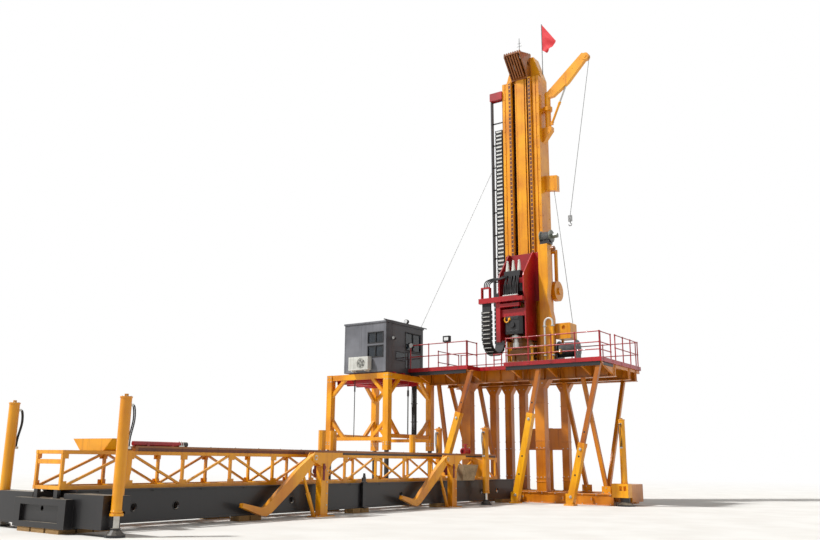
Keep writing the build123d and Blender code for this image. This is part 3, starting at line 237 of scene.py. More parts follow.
# %% Enamelled steel
def enamel(name, colour, shade, roughness=0.36, dust=0.35, wear=0.6, second=(), rust="#5A3018"):
    """Machine enamel on steel; second is a list of (colour, region) for other paints on the same part."""
    material, tree, shader, spot = new_material(name, {"Roughness": roughness, "Coat Weight": 0.15})
    paint = linear(colour)
    for other, region in second:
        paint = add(tree, "Mix", {0: region_mask(tree, spot, region), 6: paint, 7: other}, 2, data_type="RGBA")
    darker = add(tree, "Mix", {0: 1.0, 6: paint, 7: shade}, 2, data_type="RGBA", blend_type="MULTIPLY")

    patches = add(tree, "TexNoise", {"Vector": spot, "Scale": 0.7, "Detail": 5.0})             # 1.4 m across
    mask = add(tree, "MapRange", {0: patches, 1: 0.4, 2: 0.72, 4: 0.7})
    tone = add(tree, "Mix", {0: mask, 6: paint, 7: darker}, 2, data_type="RGBA")

    facing = add(tree, "NewGeometry", out="Normal")
    upward = add(tree, "SeparateXYZ", {0: facing}, 2)
    tilt = add(tree, "Math", {0: upward}, operation="ABSOLUTE")
    upright = add(tree, "MapRange", {0: tilt, 1: 0.7, 2: 0.2})
    tall = add(tree, "VectorMath", {0: spot, 1: (7.0, 7.0, 0.35)}, operation="MULTIPLY")       # 140 mm by 3 m
    rain = add(tree, "TexNoise", {"Vector": tall, "Scale": 1.0, "Detail": 3.0})
    streaks = add(tree, "MapRange", {0: rain, 1: 0.55, 2: 0.78, 4: 0.55})
    mask = add(tree, "Math", {0: streaks, 1: upright}, operation="MULTIPLY")
    tone = add(tree, "Mix", {0: mask, 6: tone, 7: darker}, 2, data_type="RGBA")

    drifts = add(tree, "TexNoise", {"Vector": spot, "Scale": 3.0, "Detail": 6.0})              # 330 mm across
    film = add(tree, "MapRange", {0: drifts, 1: 0.3, 2: 0.7})
    top = add(tree, "MapRange", {0: upward, 1: 0.6, 2: 0.95, 4: dust})
    dusty = add(tree, "Math", {0: top, 1: film}, operation="MULTIPLY")
    tone = add(tree, "Mix", {0: dusty, 6: tone, 7: "#B3A58C"}, 2, data_type="RGBA")

    rounded = add(tree, "Bevel", {"Radius": 0.008}, samples=4)
    agree = add(tree, "VectorMath", {0: rounded, 1: facing}, "Value", operation="DOT_PRODUCT")
    worn = add(tree, "MapRange", {0: agree, 1: 0.99, 2: 0.9, 4: wear})
    chips = add(tree, "TexNoise", {"Vector": spot, "Scale": 11.0, "Detail": 4.0})              # 90 mm apart
    chipped = add(tree, "MapRange", {0: chips, 1: 0.5, 2: 0.62})
    edge = add(tree, "Math", {0: worn, 1: chipped}, operation="MULTIPLY")
    tone = add(tree, "Mix", {0: edge, 6: tone, 7: rust}, 2, data_type="RGBA")

    peel = add(tree, "TexNoise", {"Vector": spot, "Scale": 250.0, "Detail": 1.0})              # 4 mm
    bumped = add(tree, "Bump", {"Height": peel, "Strength": 0.12, "Distance": 0.001, "Normal": rounded})
    rough = add(tree, "Mix", {0: dusty, 2: roughness, 3: 0.85})
    feed(shader, {"Base Color": tone, "Roughness": rough, "Normal": bumped})
    return material


YELLOW = "#F0A403"
yellow = enamel("yellow_machine_enamel", YELLOW, "#C39250")
print("one enamel has", len(yellow.node_tree.nodes), "nodes")

# %% [markdown]
# The chassis is black, the moving parts are red and the small fittings white. Under the floor the yellow is browner,
# which is painted shade, and more worn. Each is the same recipe with its own paint and wear, because they were all
# sprayed in the same shop.

# %% The rig's other enamels
RED, BLACK, WHITE = "#AC0F1A", "#131114", "#DCDCD6"
# This browner yellow is painted shade for the parts under the deck.
floor_yellow_painted_shade = enamel("yellow_enamel_painted_shade_under_the_floor", "#D4820A", "#A88050", wear=0.9)
red = enamel("red_machine_enamel", RED, "#8A6A6A", rust="#3A1A14")
black = enamel("black_chassis_enamel", BLACK, "#7A7A7A", roughness=0.45, dust=0.6, rust="#6A5A4C")
white_enamel = enamel("white_enamel", WHITE, "#A9A9A0", roughness=0.3, rust="#8A8A84")
print("enamels", [m.name for m in (yellow, floor_yellow_painted_shade, red, black, white_enamel)])

# %% [markdown]
# These parts have a paint of their own, most of them with a second one: the pipe rails are worn brown where the drill
# pipes roll, the hose tray wears a red cap, the standpipe is yellow below its white arch, the crown's brown before
# its yellow side plates is painted shade, the struts' inner stems are a browner yellow than their sleeves as painted
# shade from the floor above, the cabin's sheet is a darker grey on its near wall as painted shade, and one winch
# motor is grey over a black drum. The enamel above takes them all.

# %% Enamels for single parts
STEM_PAINTED_SHADE = "#B0640A"
rack_paint = enamel("pipe_rail_enamel", YELLOW, "#B08A66",
                    second=[("#9C5F1E", ((-11.2, 8.4), (-0.58, 0.58), (1.9, 2.05)))])
tray_paint = enamel("hose_tray_enamel", "#232026", "#7A7A7A", roughness=0.5,
                    second=[(RED, (None, None, (20.25, 21.0)))])
pipe_paint = enamel("standpipe_enamel", WHITE, "#A9A9A0", second=[(YELLOW, (None, None, (6.0, 7.02)))])
# The crown's brown is painted shade under its hood; its side plates behind it stay yellow.
crown_paint_with_shade = enamel("crown_enamel_with_painted_shade", "#94520C", "#7A5638", wear=1.0, second=[(YELLOW, ((11.69, 12.4), None, None))])
table_paint = enamel("rotary_table_enamel", "#A66A20", "#6E5038", wear=1.0, dust=0.5)
# The stems' browner yellow is painted shade from the floor above.
strut_paint = enamel("strut_enamel", "#F2AE0C", "#C39250",
                     second=[(STEM_PAINTED_SHADE, (None, (-6.0, -3.4), (2.53, 6.1))), (STEM_PAINTED_SHADE, (None, (-3.4, 3.2), (3.8, 6.1)))])
winch_paint = enamel("winch_motor_enamel", "#6F7468", "#808080", second=[("#1E1C1E", (None, None, (6.0, 12.2)))])
# The darker grey on the cabin's near wall is painted shade.
cabin_sheet = enamel("grey_powder_coated_sheet", "#74757B", "#8C8C90", roughness=0.5, dust=0.2, wear=0.25,
                     rust="#A8A8A8", second=[("#47484D", ((6.0, 9.53), (4.1, 4.16), None))])
print("enamels", len([m for m in bpy.data.materials if "enamel" in m.name or "sheet" in m.name]))

# %% [markdown]
# The cabin has tinted float glass: flat, very smooth and dark, so the eye gets reflections first and the
# inside only faintly. Clean glass would look like a hole in the wall. Smears from rain, 330 mm across,
# change its tint and dull it a little.

# %% Tinted glass
glass, tree, shader, spot = new_material("tinted_float_glass",
                                         {"Roughness": 0.03, "IOR": 1.52, "Transmission Weight": 0.55})
smears = add(tree, "TexNoise", {"Vector": spot, "Scale": 3.0, "Detail": 5.0})
mask = add(tree, "MapRange", {0: smears, 1: 0.3, 2: 0.8})
feed(shader, {"Base Color": add(tree, "Mix", {0: mask, 6: "#20272E", 7: "#394652"}, 2, data_type="RGBA"),
              "Roughness": add(tree, "MapRange", {0: smears, 1: 0.2, 2: 3.0, 4: 0.4})})
print("glass smears", round(1000 / 3), "mm across")

# %% [markdown]
# Hoses, window seals and chain plates are moulded black rubber. It is nearly black and matt, with the pale
# bloom of age in patches of 110 mm, which a plain black would lack. Its grain of half a millimetre is too
# fine to show, so it is drawn at 2.5 mm.

# %% Black rubber
rubber, tree, shader, spot = new_material("black_rubber", {"Roughness": 0.72, "IOR": 1.52})
bloom = add(tree, "TexNoise", {"Vector": spot, "Scale": 9.0, "Detail": 6.0})
mask = add(tree, "MapRange", {0: bloom, 1: 0.35, 2: 0.75})
grain = add(tree, "TexNoise", {"Vector": spot, "Scale": 400.0})
feed(shader, {"Base Color": add(tree, "Mix", {0: mask, 6: "#161517", 7: "#2E2C2D"}, 2, data_type="RGBA"),
              "Normal": add(tree, "Bump", {"Height": grain, "Strength": 0.3, "Distance": 0.001})})
print("rubber grain", 1000 / 400, "mm")

# %% [markdown]
# The ropes are galvanised wire rope, drawn and twisted from grey wires, which glints along its strands. Modelled
# strands would take thousands of faces, so a slanting wave gives them as bands 9 mm wide, a third of a 29 mm rope, in
# height, and in colour as a painted glint on each strand with painted shade between.

# %% Wire rope
wire, tree, shader, spot = new_material("galvanised_wire_rope", {"Metallic": 1.0, "Roughness": 0.5})
strands = add(tree, "TexWave", {"Vector": spot, "Scale": 40.0, "Distortion": 1.0}, "Fac", bands_direction="DIAGONAL")
feed(shader, {"Base Color": add(tree, "Mix", {0: strands, 6: "#4A4A4C", 7: "#8E8E8C"}, 2, data_type="RGBA"),
              "Normal": add(tree, "Bump", {"Height": strands, "Strength": 0.6, "Distance": 0.003})})
print("rope strands", round(1000 * math.pi / 5 / 40 / math.sqrt(3)), "mm wide")

# %% [markdown]
# Bolts, clamps and pins are zinc-plated steel: bright, bluish grey and a little cloudy. The clouds are
# crystals of the plating, and Voronoi cells give them in tone and in gloss. They are drawn at 17 mm,
# since real ones of a few millimetres wouldn't show.

# %% Zinc-plated steel
zinc, tree, shader, spot = new_material("zinc_plated_steel", {"Metallic": 1.0, "Roughness": 0.35})
spangle = add(tree, "TexVoronoi", {"Vector": spot, "Scale": 60.0}, "Color")
feed(shader, {"Base Color": add(tree, "Mix", {0: spangle, 6: "#A9A9A6", 7: "#CFCFC9"}, 2, data_type="RGBA"),
              "Roughness": add(tree, "MapRange", {0: spangle, 1: -2.0, 2: 2.0, 4: 0.7})})
print("zinc spangle", round(1000 / 60), "mm")

# %% [markdown]
# The floor plates are black hot-rolled tread plate, which glitters on its raised lenses where boots have
# polished them. They stand 36 mm apart one way and 71 mm the other, far too many to model, so a Voronoi
# pattern on a grid turned by 45 degrees gives their height, and dried mud in clouds of 600 mm dulls the black.

# %% Tread plate
tread, tree, shader, spot = new_material("steel_tread_plate", {"Roughness": 0.5})
turned = add(tree, "Mapping", {"Vector": spot, "Rotation": (0, 0, 0.785), "Scale": (28.0, 14.0, 1.0)})
lenses = add(tree, "TexVoronoi", {"Vector": turned, "Scale": 1.0, "Randomness": 0.0}, "Distance")
raised = add(tree, "MapRange", {0: lenses, 1: 0.35, 2: 0.2})
mud = add(tree, "TexNoise", {"Vector": spot, "Scale": 1.6, "Detail": 7.0})
mask = add(tree, "MapRange", {0: mud, 1: 0.42, 2: 0.7})
feed(shader, {"Base Color": add(tree, "Mix", {0: mask, 6: "#2B282B", 7: "#5E554A"}, 2, data_type="RGBA"),
              "Roughness": add(tree, "MapRange", {0: mud, 1: -0.4, 2: 1.0, 4: 0.9}),
              "Normal": add(tree, "Bump", {"Height": raised, "Strength": 0.8, "Distance": 0.003})})
print("lens pitch", round(1000 / 28), "mm")

# %% [markdown]
# The blocks under the skid are rough-sawn softwood and the crate is plywood. Wood is read by long fibres,
# growth rings and dark stains. Scanned boards would need pictures, so patterns do it, squeezed across the
# grain. Fibres and rings lie about 33 mm apart on the blocks. Real ones, of 1 and 4 mm, wouldn't show from
# here. The stains are clouds 0.8 m across.

# %% Sawn timber and plywood
def sawn_wood(name, light, dark, stretch):
    """Sawn softwood with its fibres along the axis that is stretched least."""
    material, tree, shader, spot = new_material(name, {"Roughness": 0.82})
    long = add(tree, "Mapping", {"Vector": spot, "Scale": stretch})
    fibre = add(tree, "TexNoise", {"Vector": long, "Scale": 5.0, "Detail": 9.0, "Roughness": 0.7})
    mask = add(tree, "MapRange", {0: fibre, 1: 0.3, 2: 0.75})
    wood = add(tree, "Mix", {0: mask, 6: light, 7: dark}, 2, data_type="RGBA")
    rings = add(tree, "TexWave", {"Vector": long, "Scale": 1.6, "Distortion": 6.0}, "Fac")
    mask = add(tree, "Math", {0: rings, 1: 0.35}, operation="MULTIPLY")
    wood = add(tree, "Mix", {0: mask, 6: wood, 7: dark}, 2, data_type="RGBA")
    stain = add(tree, "TexNoise", {"Vector": spot, "Scale": 1.3, "Detail": 4.0})
    mask = add(tree, "MapRange", {0: stain, 1: 0.55, 2: 0.8, 4: 0.7})
    feed(shader, {"Base Color": add(tree, "Mix", {0: mask, 6: wood, 7: "#3C2F22"}, 2, data_type="RGBA"),
                  "Normal": add(tree, "Bump", {"Height": fibre, "Strength": 0.5, "Distance": 0.004})})
    return material


timber = sawn_wood("rough_sawn_timber", "#B2905C", "#7A5A34", (6.0, 1.0, 6.0))
crate_wood = sawn_wood("crate_plywood", "#B7A080", "#8A7454", (1.5, 6.0, 6.0))
print("woods", timber.name, crate_wood.name)

# %% [markdown]
# The flag is thin woven polyester. A real thread is far too fine for this distance, so the weave is
# drawn at 12 mm: two crossed wave patterns, multiplied, just enough to break the surface close up.
# A little sheen gives cloth its soft rim.

# %% Flag cloth
cloth, tree, shader, spot = new_material("woven_red_polyester", {"Roughness": 0.75, "Sheen Weight": 0.3})
warp = add(tree, "TexWave", {"Vector": spot, "Scale": 26.0}, "Fac", bands_direction="Y")
weft = add(tree, "TexWave", {"Vector": spot, "Scale": 26.0}, "Fac", bands_direction="Z")
weave = add(tree, "Math", {0: warp, 1: weft}, operation="MULTIPLY")
feed(shader, {"Base Color": add(tree, "Mix", {0: weave, 6: "#D2202A", 7: "#E8454A"}, 2, data_type="RGBA"),
              "Normal": add(tree, "Bump", {"Height": weave, "Strength": 0.3, "Distance": 0.001})})
print("cloth", cloth.name)

# %% [markdown]
# Each node of the rig already has its true shape, so it only gets its finish.
# A table of the exceptions is shorter than a list of all: the rest follows the record's slot.

# %% Finishes on the rig's own parts
by_slot = {"yellow_paint": yellow, "red_paint": red, "dark_steel": black, "cabin_grey": cabin_sheet,
           "white_paint": white_enamel, "glass": glass, "timber": timber, "rubber": rubber,
           "bare_steel": wire, "flag_cloth": cloth}
by_node = {"pipe_rack": rack_paint, "hose_tray": tray_paint, "standpipe": pipe_paint, "mast_crown": crown_paint_with_shade,
           "rotary_table": table_paint, "winches": winch_paint, "drill_floor_deck": tread, "crate": crate_wood,
           "struts": strut_paint, "floor_beams": floor_yellow_painted_shade, "columns": floor_yellow_painted_shade,
           "base_frame": floor_yellow_painted_shade, "v_legs": floor_yellow_painted_shade, "spindle": zinc}
for part in frame["record"]["subparts"]:
    node = bpy.data.objects[part["node"]]
    node.data.materials.clear()
    node.data.materials.append(by_node.get(part["node"], by_slot[part["material_slot"]]))

# %% [markdown]
# New pieces are built in mesh code. Primitives could be placed one by one with modifiers, but a rig has
# thousands of small forms, so a few makers add them to one bmesh. The first adds a block between two
# corners. The others, for rounds, bolts, flat bars, pipes and hoops, come where they are first needed.

# %% Blocks and even steps
def block(bm, x0, x1, y0, y1, z0, z1):
    """A block between two corners of the drawing."""
    size = Matrix.Diagonal((abs(x1 - x0), abs(y1 - y0), abs(z1 - z0), 1))
    middle = at((x0 + x1) / 2, (y0 + y1) / 2, (z0 + z1) / 2)
    bmesh.ops.create_cube(bm, size=1, matrix=Matrix.Translation(middle) @ size)


def steps(a, b, pitch):
    """Evenly spaced values from a up to b, about pitch apart."""
    n = max(1, round((b - a) / pitch))
    return [a + (b - a) * i / n for i in range(n + 1)]


print("a metre in steps of 0.3", [round(v, 2) for v in steps(0, 1, 0.3)])

# %% [markdown]
# One function turns a bmesh into a finished piece. No real edge is sharp, and a bevel modifier breaks them all with
# one width, which is quicker and safer than bevelling each form. The piece is also given its material and the body
# that carries it, so it moves with the rig.

# %% From forms to a piece
def piece(name, bm, material, body="rig", bevel=0.004):
    """Turns a bmesh into a named piece with broken edges, on its body."""
    bmesh.ops.recalc_face_normals(bm, faces=bm.faces)
    mesh = bpy.data.meshes.new(name)
    bm.to_mesh(mesh)
    bm.free()
    thing = bpy.data.objects.new(name, mesh)
    bpy.context.scene.collection.objects.link(thing)
    mesh.materials.append(material)
    for face in mesh.polygons:
        face.use_smooth = True
    mesh.set_sharp_from_angle(angle=math.radians(40))
    if bevel:
        edge = thing.modifiers.new("broken edges", "BEVEL")
        edge.width = bevel
        edge.segments = 2
        edge.limit_method = "ANGLE"
        edge.angle_limit = math.radians(40)
    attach(thing, body)
    print(name, len(mesh.polygons), "faces on", body)
    return thing


# %% [markdown]
# Two rails run up the mast, and the carriage climbs them. Seen from below they are dark, worn bands with
# a lighter rung every 220 mm. A picture of a ladder would be flat at a grazing view, so each band is a
# thin plate on its rail with the rungs welded across, and stays 6 mm off the carriage.

# %% Mast rails
MIDDLE = -0.65       # middle of the mast across the rig
bands = bmesh.new()
rungs = bmesh.new()
for s in (-1, 1):
    y = MIDDLE + s * 0.5584
    block(bands, 11.2375, 11.242, y - 0.062, y + 0.062, 6.3, 21.0)
    for z in steps(6.4, 20.9, 0.22):
        block(rungs, 11.235, 11.24, y - 0.045, y + 0.045, z - 0.028, z + 0.028)
# This worn finish also serves on the trailer's rails as painted shadow.
rail_wear_and_shadow = enamel("worn_rail_face_and_painted_shadow", "#6B3212", "#7A6A5A", roughness=0.6, wear=1.0)
piece("mast_rail_bands", bands, rail_wear_and_shadow, bevel=0)
piece("mast_rail_rungs", rungs, yellow, bevel=0)

# %% [markdown]
# The deep slots beside the middle panel look dark brown on the real mast, because shade fills them. A shadow alone
# would leave them yellow from the sun's side, so a dark liner plate lies at the bottom and along the sides of each
# slot as painted shade.

# %% Slot liners
SIDE = 1.04          # half the mast's width
bm = bmesh.new()
for s in (-1, 1):
    for a, b in ((0.21, 0.24), (0.31, 0.46)):
        y0, y1 = MIDDLE + s * a * SIDE, MIDDLE + s * b * SIDE
        block(bm, 11.64, 11.648, y0, y1, 6.06, 21.09)
        for y in (y0, y1):
            block(bm, 11.42, 11.648, y - 0.002, y + 0.002, 6.06, 21.09)
# The liners' dark brown is painted shade.
slot_painted_shade = enamel("slot_lining_painted_shade", "#5A2E10", "#6A5040", roughness=0.65, dust=0.0, wear=0.2)
piece("mast_slot_painted_shade_linings", bm, slot_painted_shade, bevel=0)

# %% [markdown]
# Most bars of a rig lean, so a round is made between two points, whatever way it runs. A bolt shows as a
# washer and a hexagon head. Its thread and nut are never seen, so two short rounds on the surface do.

# %% Rounds and bolts
def round_bar(bm, a, b, r, sides=16, r2=None):
    """A round from a to b, with another radius at b for a cone."""
    a, b = at(*a), at(*b)
    turn = (b - a).to_track_quat("Z", "Y").to_matrix().to_4x4()
    bmesh.ops.create_cone(bm, cap_ends=True, segments=sides, radius1=r, radius2=r if r2 is None else r2,
                          depth=(b - a).length, matrix=Matrix.Translation((a + b) / 2) @ turn)


def bolt(bm, p, n, r):
    """A washer and a hexagon head at p, standing off along n."""
    seat, washer, head = [Vector(p) + Vector(n) * d for d in (-0.002, 0.2 * r, 1.1 * r)]
    round_bar(bm, seat, washer, 1.5 * r, 10)
    round_bar(bm, washer, head, r, 6)


def bolts(bm, xs, ys, zs, n, r):
    """A bolt at every crossing of the given places."""
    for p in [(x, y, z) for x in xs for y in ys for z in zs]:
        bolt(bm, p, n, r)


trial = bmesh.new()
bolt(trial, (0, 0, 0), (0, 0, 1), 0.018)
print("one bolt has", len(trial.faces), "faces")
trial.free()

# %% [markdown]
# The mast is plated from lengths: rows of bolts hold its corner flanges, and a splice plate covers each
# joint in the sides. They tell the eye how big the mast is, so they are real forms at a real pitch.

# %% Corner bolts and splice plates of the mast
bm = bmesh.new()
for s in (-1, 1):
    bolts(bm, [11.35], [MIDDLE + s * 0.94], steps(6.4, 20.8, 0.6), (-1, 0, 0), 0.018)
    bolts(bm, [11.5, 12.2], [MIDDLE + s * SIDE], steps(6.4, 20.8, 0.6), (0, s, 0), 0.018)
    for z in (8.0, 11.75, 15.5, 19.2):
        block(bm, 11.36, 12.34, MIDDLE + s * SIDE, MIDDLE + s * (SIDE + 0.012), z - 0.09, z + 0.09)
piece("mast_bolts_and_splices", bm, yellow, bevel=0.002)

# %% [markdown]
# The hose tray holds a chain of moulded nylon links that carries the hoses. Each link shows as a dark gap
# and a pale cross bar, 210 mm apart. Moulded nylon is dull and a little waxy, and its scuffs, patches of
# 70 mm, are paler. Side plates and bars are separate pieces, as they are of two colours.

# %% Chain links in the tray
nylon, tree, shader, spot = new_material("grey_moulded_nylon", {"Roughness": 0.55, "IOR": 1.53})
scuffs = add(tree, "TexNoise", {"Vector": spot, "Scale": 14.0, "Detail": 5.0})
mask = add(tree, "MapRange", {0: scuffs, 1: 0.3, 2: 0.7})
feed(shader, {"Base Color": add(tree, "Mix", {0: mask, 6: "#B9B9B4", 7: "#DEDED8"}, 2, data_type="RGBA"),
              "Normal": add(tree, "Bump", {"Height": scuffs, "Strength": 0.2, "Distance": 0.002})})
bars = bmesh.new()
plates = bmesh.new()
for z in steps(9.5, 18.5, 0.21):
    block(bars, 11.325, 11.36, 0.47, 0.79, z - 0.042, z + 0.042)
    for y in (0.445, 0.815):
        block(plates, 11.31, 11.44, y - 0.014, y + 0.014, z - 0.09, z + 0.09)
piece("tray_chain_bars", bars, nylon, bevel=0.006)
piece("tray_chain_plates", plates, rubber, bevel=0.006)

# %% [markdown]
# The same chain hangs in a free loop below the carriage's arm: a straight run down, a half turn and a
# straight run up. An array along a curve would twist the links, so the code walks along that line and
# drops a bar and two side plates at each pitch. On the run beside the tray the links lie 27 mm flatter,
# to clear the tray's chain as the carriage climbs.

# %% Chain links in the loop
def flat_bar(bm, a, b, w, h):
    """A flat bar from a to b, w wide across and h high."""
    a, b = at(*a), at(*b)
    turn = (b - a).to_track_quat("Z", "Y").to_matrix().to_4x4()
    size = Matrix.Diagonal((w, h, (b - a).length, 1))
    bmesh.ops.create_cube(bm, size=1, matrix=Matrix.Translation((a + b) / 2) @ turn @ size)


DOWN_X, UP_X, BEND_Z = 9.9, 11.215, 7.45     # the two runs, and the height where the half turn starts
BEND, SKIN = (UP_X - DOWN_X) / 2, 0.055      # radius of the turn, and half the chain's thickness
spots = [(DOWN_X - SKIN, z, 0.0) for z in steps(BEND_Z, 8.7, 0.2)]
for t in steps(0.0, math.pi, 0.3)[1:-1]:
    spots.append((DOWN_X + BEND - (BEND + SKIN) * math.cos(t), BEND_Z - (BEND + SKIN) * math.sin(t), t))
spots += [(UP_X + SKIN - 0.027, z, math.pi) for z in steps(BEND_Z, 9.7, 0.2)]
bars = bmesh.new()
plates = bmesh.new()
half = Vector((0, 0.19, 0))
for x, z, t in spots:
    out = Vector((-math.cos(t), 0, -math.sin(t)))
    along = Vector((math.sin(t), 0, -math.cos(t)))
    p = Vector((x, 0.675, z)) + out * 0.022
    flat_bar(bars, p - half, p + half, 0.085, 0.03)
    for y in (0.442, 0.908):
        middle = Vector((x, y, z)) - out * SKIN
        flat_bar(plates, middle - along * 0.085, middle + along * 0.085, 0.024, 0.135)
piece("loop_chain_bars", bars, nylon, "carriage", 0.006)
piece("loop_chain_plates", plates, rubber, "carriage", 0.006)

# %% [markdown]
# The guard rails are round tube, welded at each crossing, with a small foot plate under every post. A
# skin modifier on a wire would round the crossings off, while real ones are cut and welded. The packed
# rails are square bars that keep the model light, so these tubes stand for them.

# %% Guard rails
FLOOR = 6.05                                # top of the drill floor
FRONT, BACK, NEAR, FAR = 8.35, 12.9, -5.55, 4.05
two_rails, three_rails = (1.13, 0.565), (1.085, 0.633, 0.328)
runs = [((FRONT, NEAR), (FRONT, -1.15), 4, three_rails), ((FRONT, 0.91), (FRONT, FAR), 3, two_rails),
        ((FRONT + 0.09, 0.91), (9.3, 0.91), 1, two_rails), ((FRONT + 0.09, NEAR), (9.59, NEAR), 1, three_rails),
        ((10.12, NEAR), (BACK, NEAR), 3, two_rails), ((BACK, NEAR + 0.09), (BACK, -0.74), 3, two_rails),
        ((BACK, -0.56), (BACK, FAR - 0.09), 3, two_rails), ((10.82, FAR), (BACK - 0.09, FAR), 2, two_rails),
        ((9.44, -0.33), (9.44, 0.07), 1, (0.56, 0.3))]
bm = bmesh.new()
for a, b, count, heights in runs:
    for h in heights:
        round_bar(bm, (*a, FLOOR + h), (*b, FLOOR + h), 0.024, 12)
    for k in range(count + 1):
        x, y = [p + (q - p) * k / count for p, q in zip(a, b)]
        round_bar(bm, (x, y, FLOOR), (x, y, FLOOR + heights[0] + 0.022), 0.026, 12)
        block(bm, x - 0.045, x + 0.045, y - 0.045, y + 0.045, FLOOR, FLOOR + 0.012)
        for h in heights:
            round_bar(bm, (x, y, FLOOR + h - 0.035), (x, y, FLOOR + h + 0.035), 0.033, 12)
rails = piece("guard_rail_tubes", bm, red, bevel=0)
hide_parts("guard_rails")

# %% [markdown]
# The red band round the floor is flat bar in lengths, joined by short splice plates with bolts. They are
# drawn as plates 8 mm thick, since a bump would vanish along the band's edge.

# %% Band splices
bm = bmesh.new()
for x, y0, y1 in ((8.26, -5.5, -1.2), (8.26, 0.95, 4.0), (9.35, -1.0, 0.75)):
    for y in steps(y0, y1, 1.1)[1:-1] or [(y0 + y1) / 2]:
        block(bm, x - 0.008, x, y - 0.07, y + 0.07, 5.89, 6.03)
        bolts(bm, [x - 0.008], [y - 0.04, y + 0.04], [5.92, 6.0], (-1, 0, 0), 0.014)
for x in steps(8.6, 12.7, 1.0):
    for y, s in ((-5.64, -1), (4.14, 1)):
        if s < 0 or x > 9.8:
            block(bm, x - 0.07, x + 0.07, y, y + s * 0.008, 5.89, 6.03)
piece("floor_band_splices", bm, red, bevel=0.002)

# %% [markdown]
# Deep floor beams need stiffeners, or their webs would buckle over the columns. They are flat plates
# between the flanges, on both faces of each web, at an even pitch that a loop gives.

# %% Beam stiffeners
bm = bmesh.new()
for x in (9.87, 11.6, 12.45):
    for y in steps(-5.3, 3.7, 0.75):
        for s in (-1, 1):
            block(bm, x + s * 0.018, x + s * 0.135, y - 0.01, y + 0.01, 5.386, 5.954)
piece("floor_beam_stiffeners", bm, floor_yellow_painted_shade, bevel=0.003)

# %% [markdown]
# Black blocks stand below the red band at the platforms' front edges as painted shade for the platforms' shaded
# underside, and show as a dark line there. They could be painted on as a dark stripe, but their lower edge shows from
# below, so they are blocks with broken edges.

# %% Painted shade under the platforms
bm = bmesh.new()
for y0, y1 in ((-5.55, -1.15), (0.92, 4.05)):
    block(bm, 8.305, 8.343, y0, y1, 5.7, 5.985)
block(bm, 8.6, 9.7, -5.58, -5.55, 5.74, 5.985)
piece("platform_painted_shade_blocks", bm, black, bevel=0.003)

# %% [markdown]
# Each column is a square box in stacked lengths. A narrow band runs round it at every joint, the foot
# plate is bolted down, and the flared head carries a row of bolts. The bands are blocks a little wider
# than the column, which pass through it, so no frame has to be cut.

# %% Column bands and bolts
bands = bmesh.new()
nuts = bmesh.new()
for x, ys, half, deep in ((9.87, (-2.08, 1.75), 0.23, 0.21), (12.45, (-2.08, 0.12, 0.9, 1.75), 0.1725, 0.1575)):
    for y in ys:
        for z in (0.88, 1.03, 2.29, 2.66, 4.3):
            block(bands, x - deep - 0.02, x + deep + 0.02, y - half - 0.02, y + half + 0.02, z, z + 0.03)
        across = [y + dy for dy in steps(-half + 0.06, half - 0.06, 0.16)]
        bolts(nuts, [x - deep], across, [1.09, 2.36], (-1, 0, 0), 0.018)
        bolts(nuts, [x - deep - 0.02], across, [5.2], (-1, 0, 0), 0.018)
        bolts(nuts, [x - deep - 0.025], across, [0.475], (-1, 0, 0), 0.012)
piece("column_bands", bands, floor_yellow_painted_shade)
piece("column_bolts", nuts, zinc, bevel=0)

# %% [markdown]
# The struts are telescopic: a wide sleeve below and a narrow stem above, locked by a cross pin. Spare pin
# holes show on the sleeve as dark rounds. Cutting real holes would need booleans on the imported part,
# which stays as it is, so a dark disc fills each place.

# %% Strut collars, pins and holes
collars = bmesh.new()
pins = bmesh.new()
holes = bmesh.new()
for foot_y, head_y, joint in ((-3.96, -5.48, 0.42), (-1.43, -2.73, 0.64), (2.68, 0.7, 0.66)):
    foot, head = Vector((8.44, foot_y, 0.06)), Vector((8.44, head_y, 5.88))
    for low, high in ((joint - 0.025, joint + 0.004), (0.03, 0.045)):
        flat_bar(collars, foot.lerp(head, low), foot.lerp(head, high), 0.3, 0.3)
    for t in (joint - 0.04, 0.05):
        p = foot.lerp(head, t)
        round_bar(pins, p + Vector((-0.19, 0, 0)), p + Vector((0.19, 0, 0)), 0.035)
        round_bar(pins, p + Vector((-0.17, 0, 0)), p + Vector((-0.145, 0, 0)), 0.06)
    for t in (0.2, 0.33, joint + 0.08):
        p = foot.lerp(head, t)
        wide = 0.1415 if t < joint else 0.0915
        round_bar(holes, p + Vector((-wide, 0, 0)), p + Vector((-wide + 0.02, 0, 0)), 0.04)
piece("strut_collars", collars, yellow)
piece("strut_pins", pins, zinc)
piece("strut_pin_holes", holes, black, bevel=0)

# %% [markdown]
# Hoses and bent tubes follow a smooth line. A curve object with a round bevel would do, but its ends stay
# open and it can't share a piece with blocks. So the pipe is swept by hand: one ring of points at each
# step, turned as little as possible from the last one, with a cap at both ends. A hoop is a pipe whose line
# is a circle, and the circle's points serve bolts and spokes further on.

# %% Pipes and hoops
def smooth_line(points, fine):
    """Points on a smooth curve through the given ones, with fine steps between each two."""
    points = [Vector(p) for p in points]
    ends = [2 * points[0] - points[1]] + points + [2 * points[-1] - points[-2]]
    line = []
    for i in range(1, len(ends) - 2):
        p0, p1, p2, p3 = ends[i - 1:i + 3]
        for s in range(fine):
            t = s / fine
            line.append(0.5 * (2 * p1 + (p2 - p0) * t + (2 * p0 - 5 * p1 + 4 * p2 - p3) * t * t
                               + (3 * p1 - p0 - 3 * p2 + p3) * t ** 3))
    return line + [points[-1]]


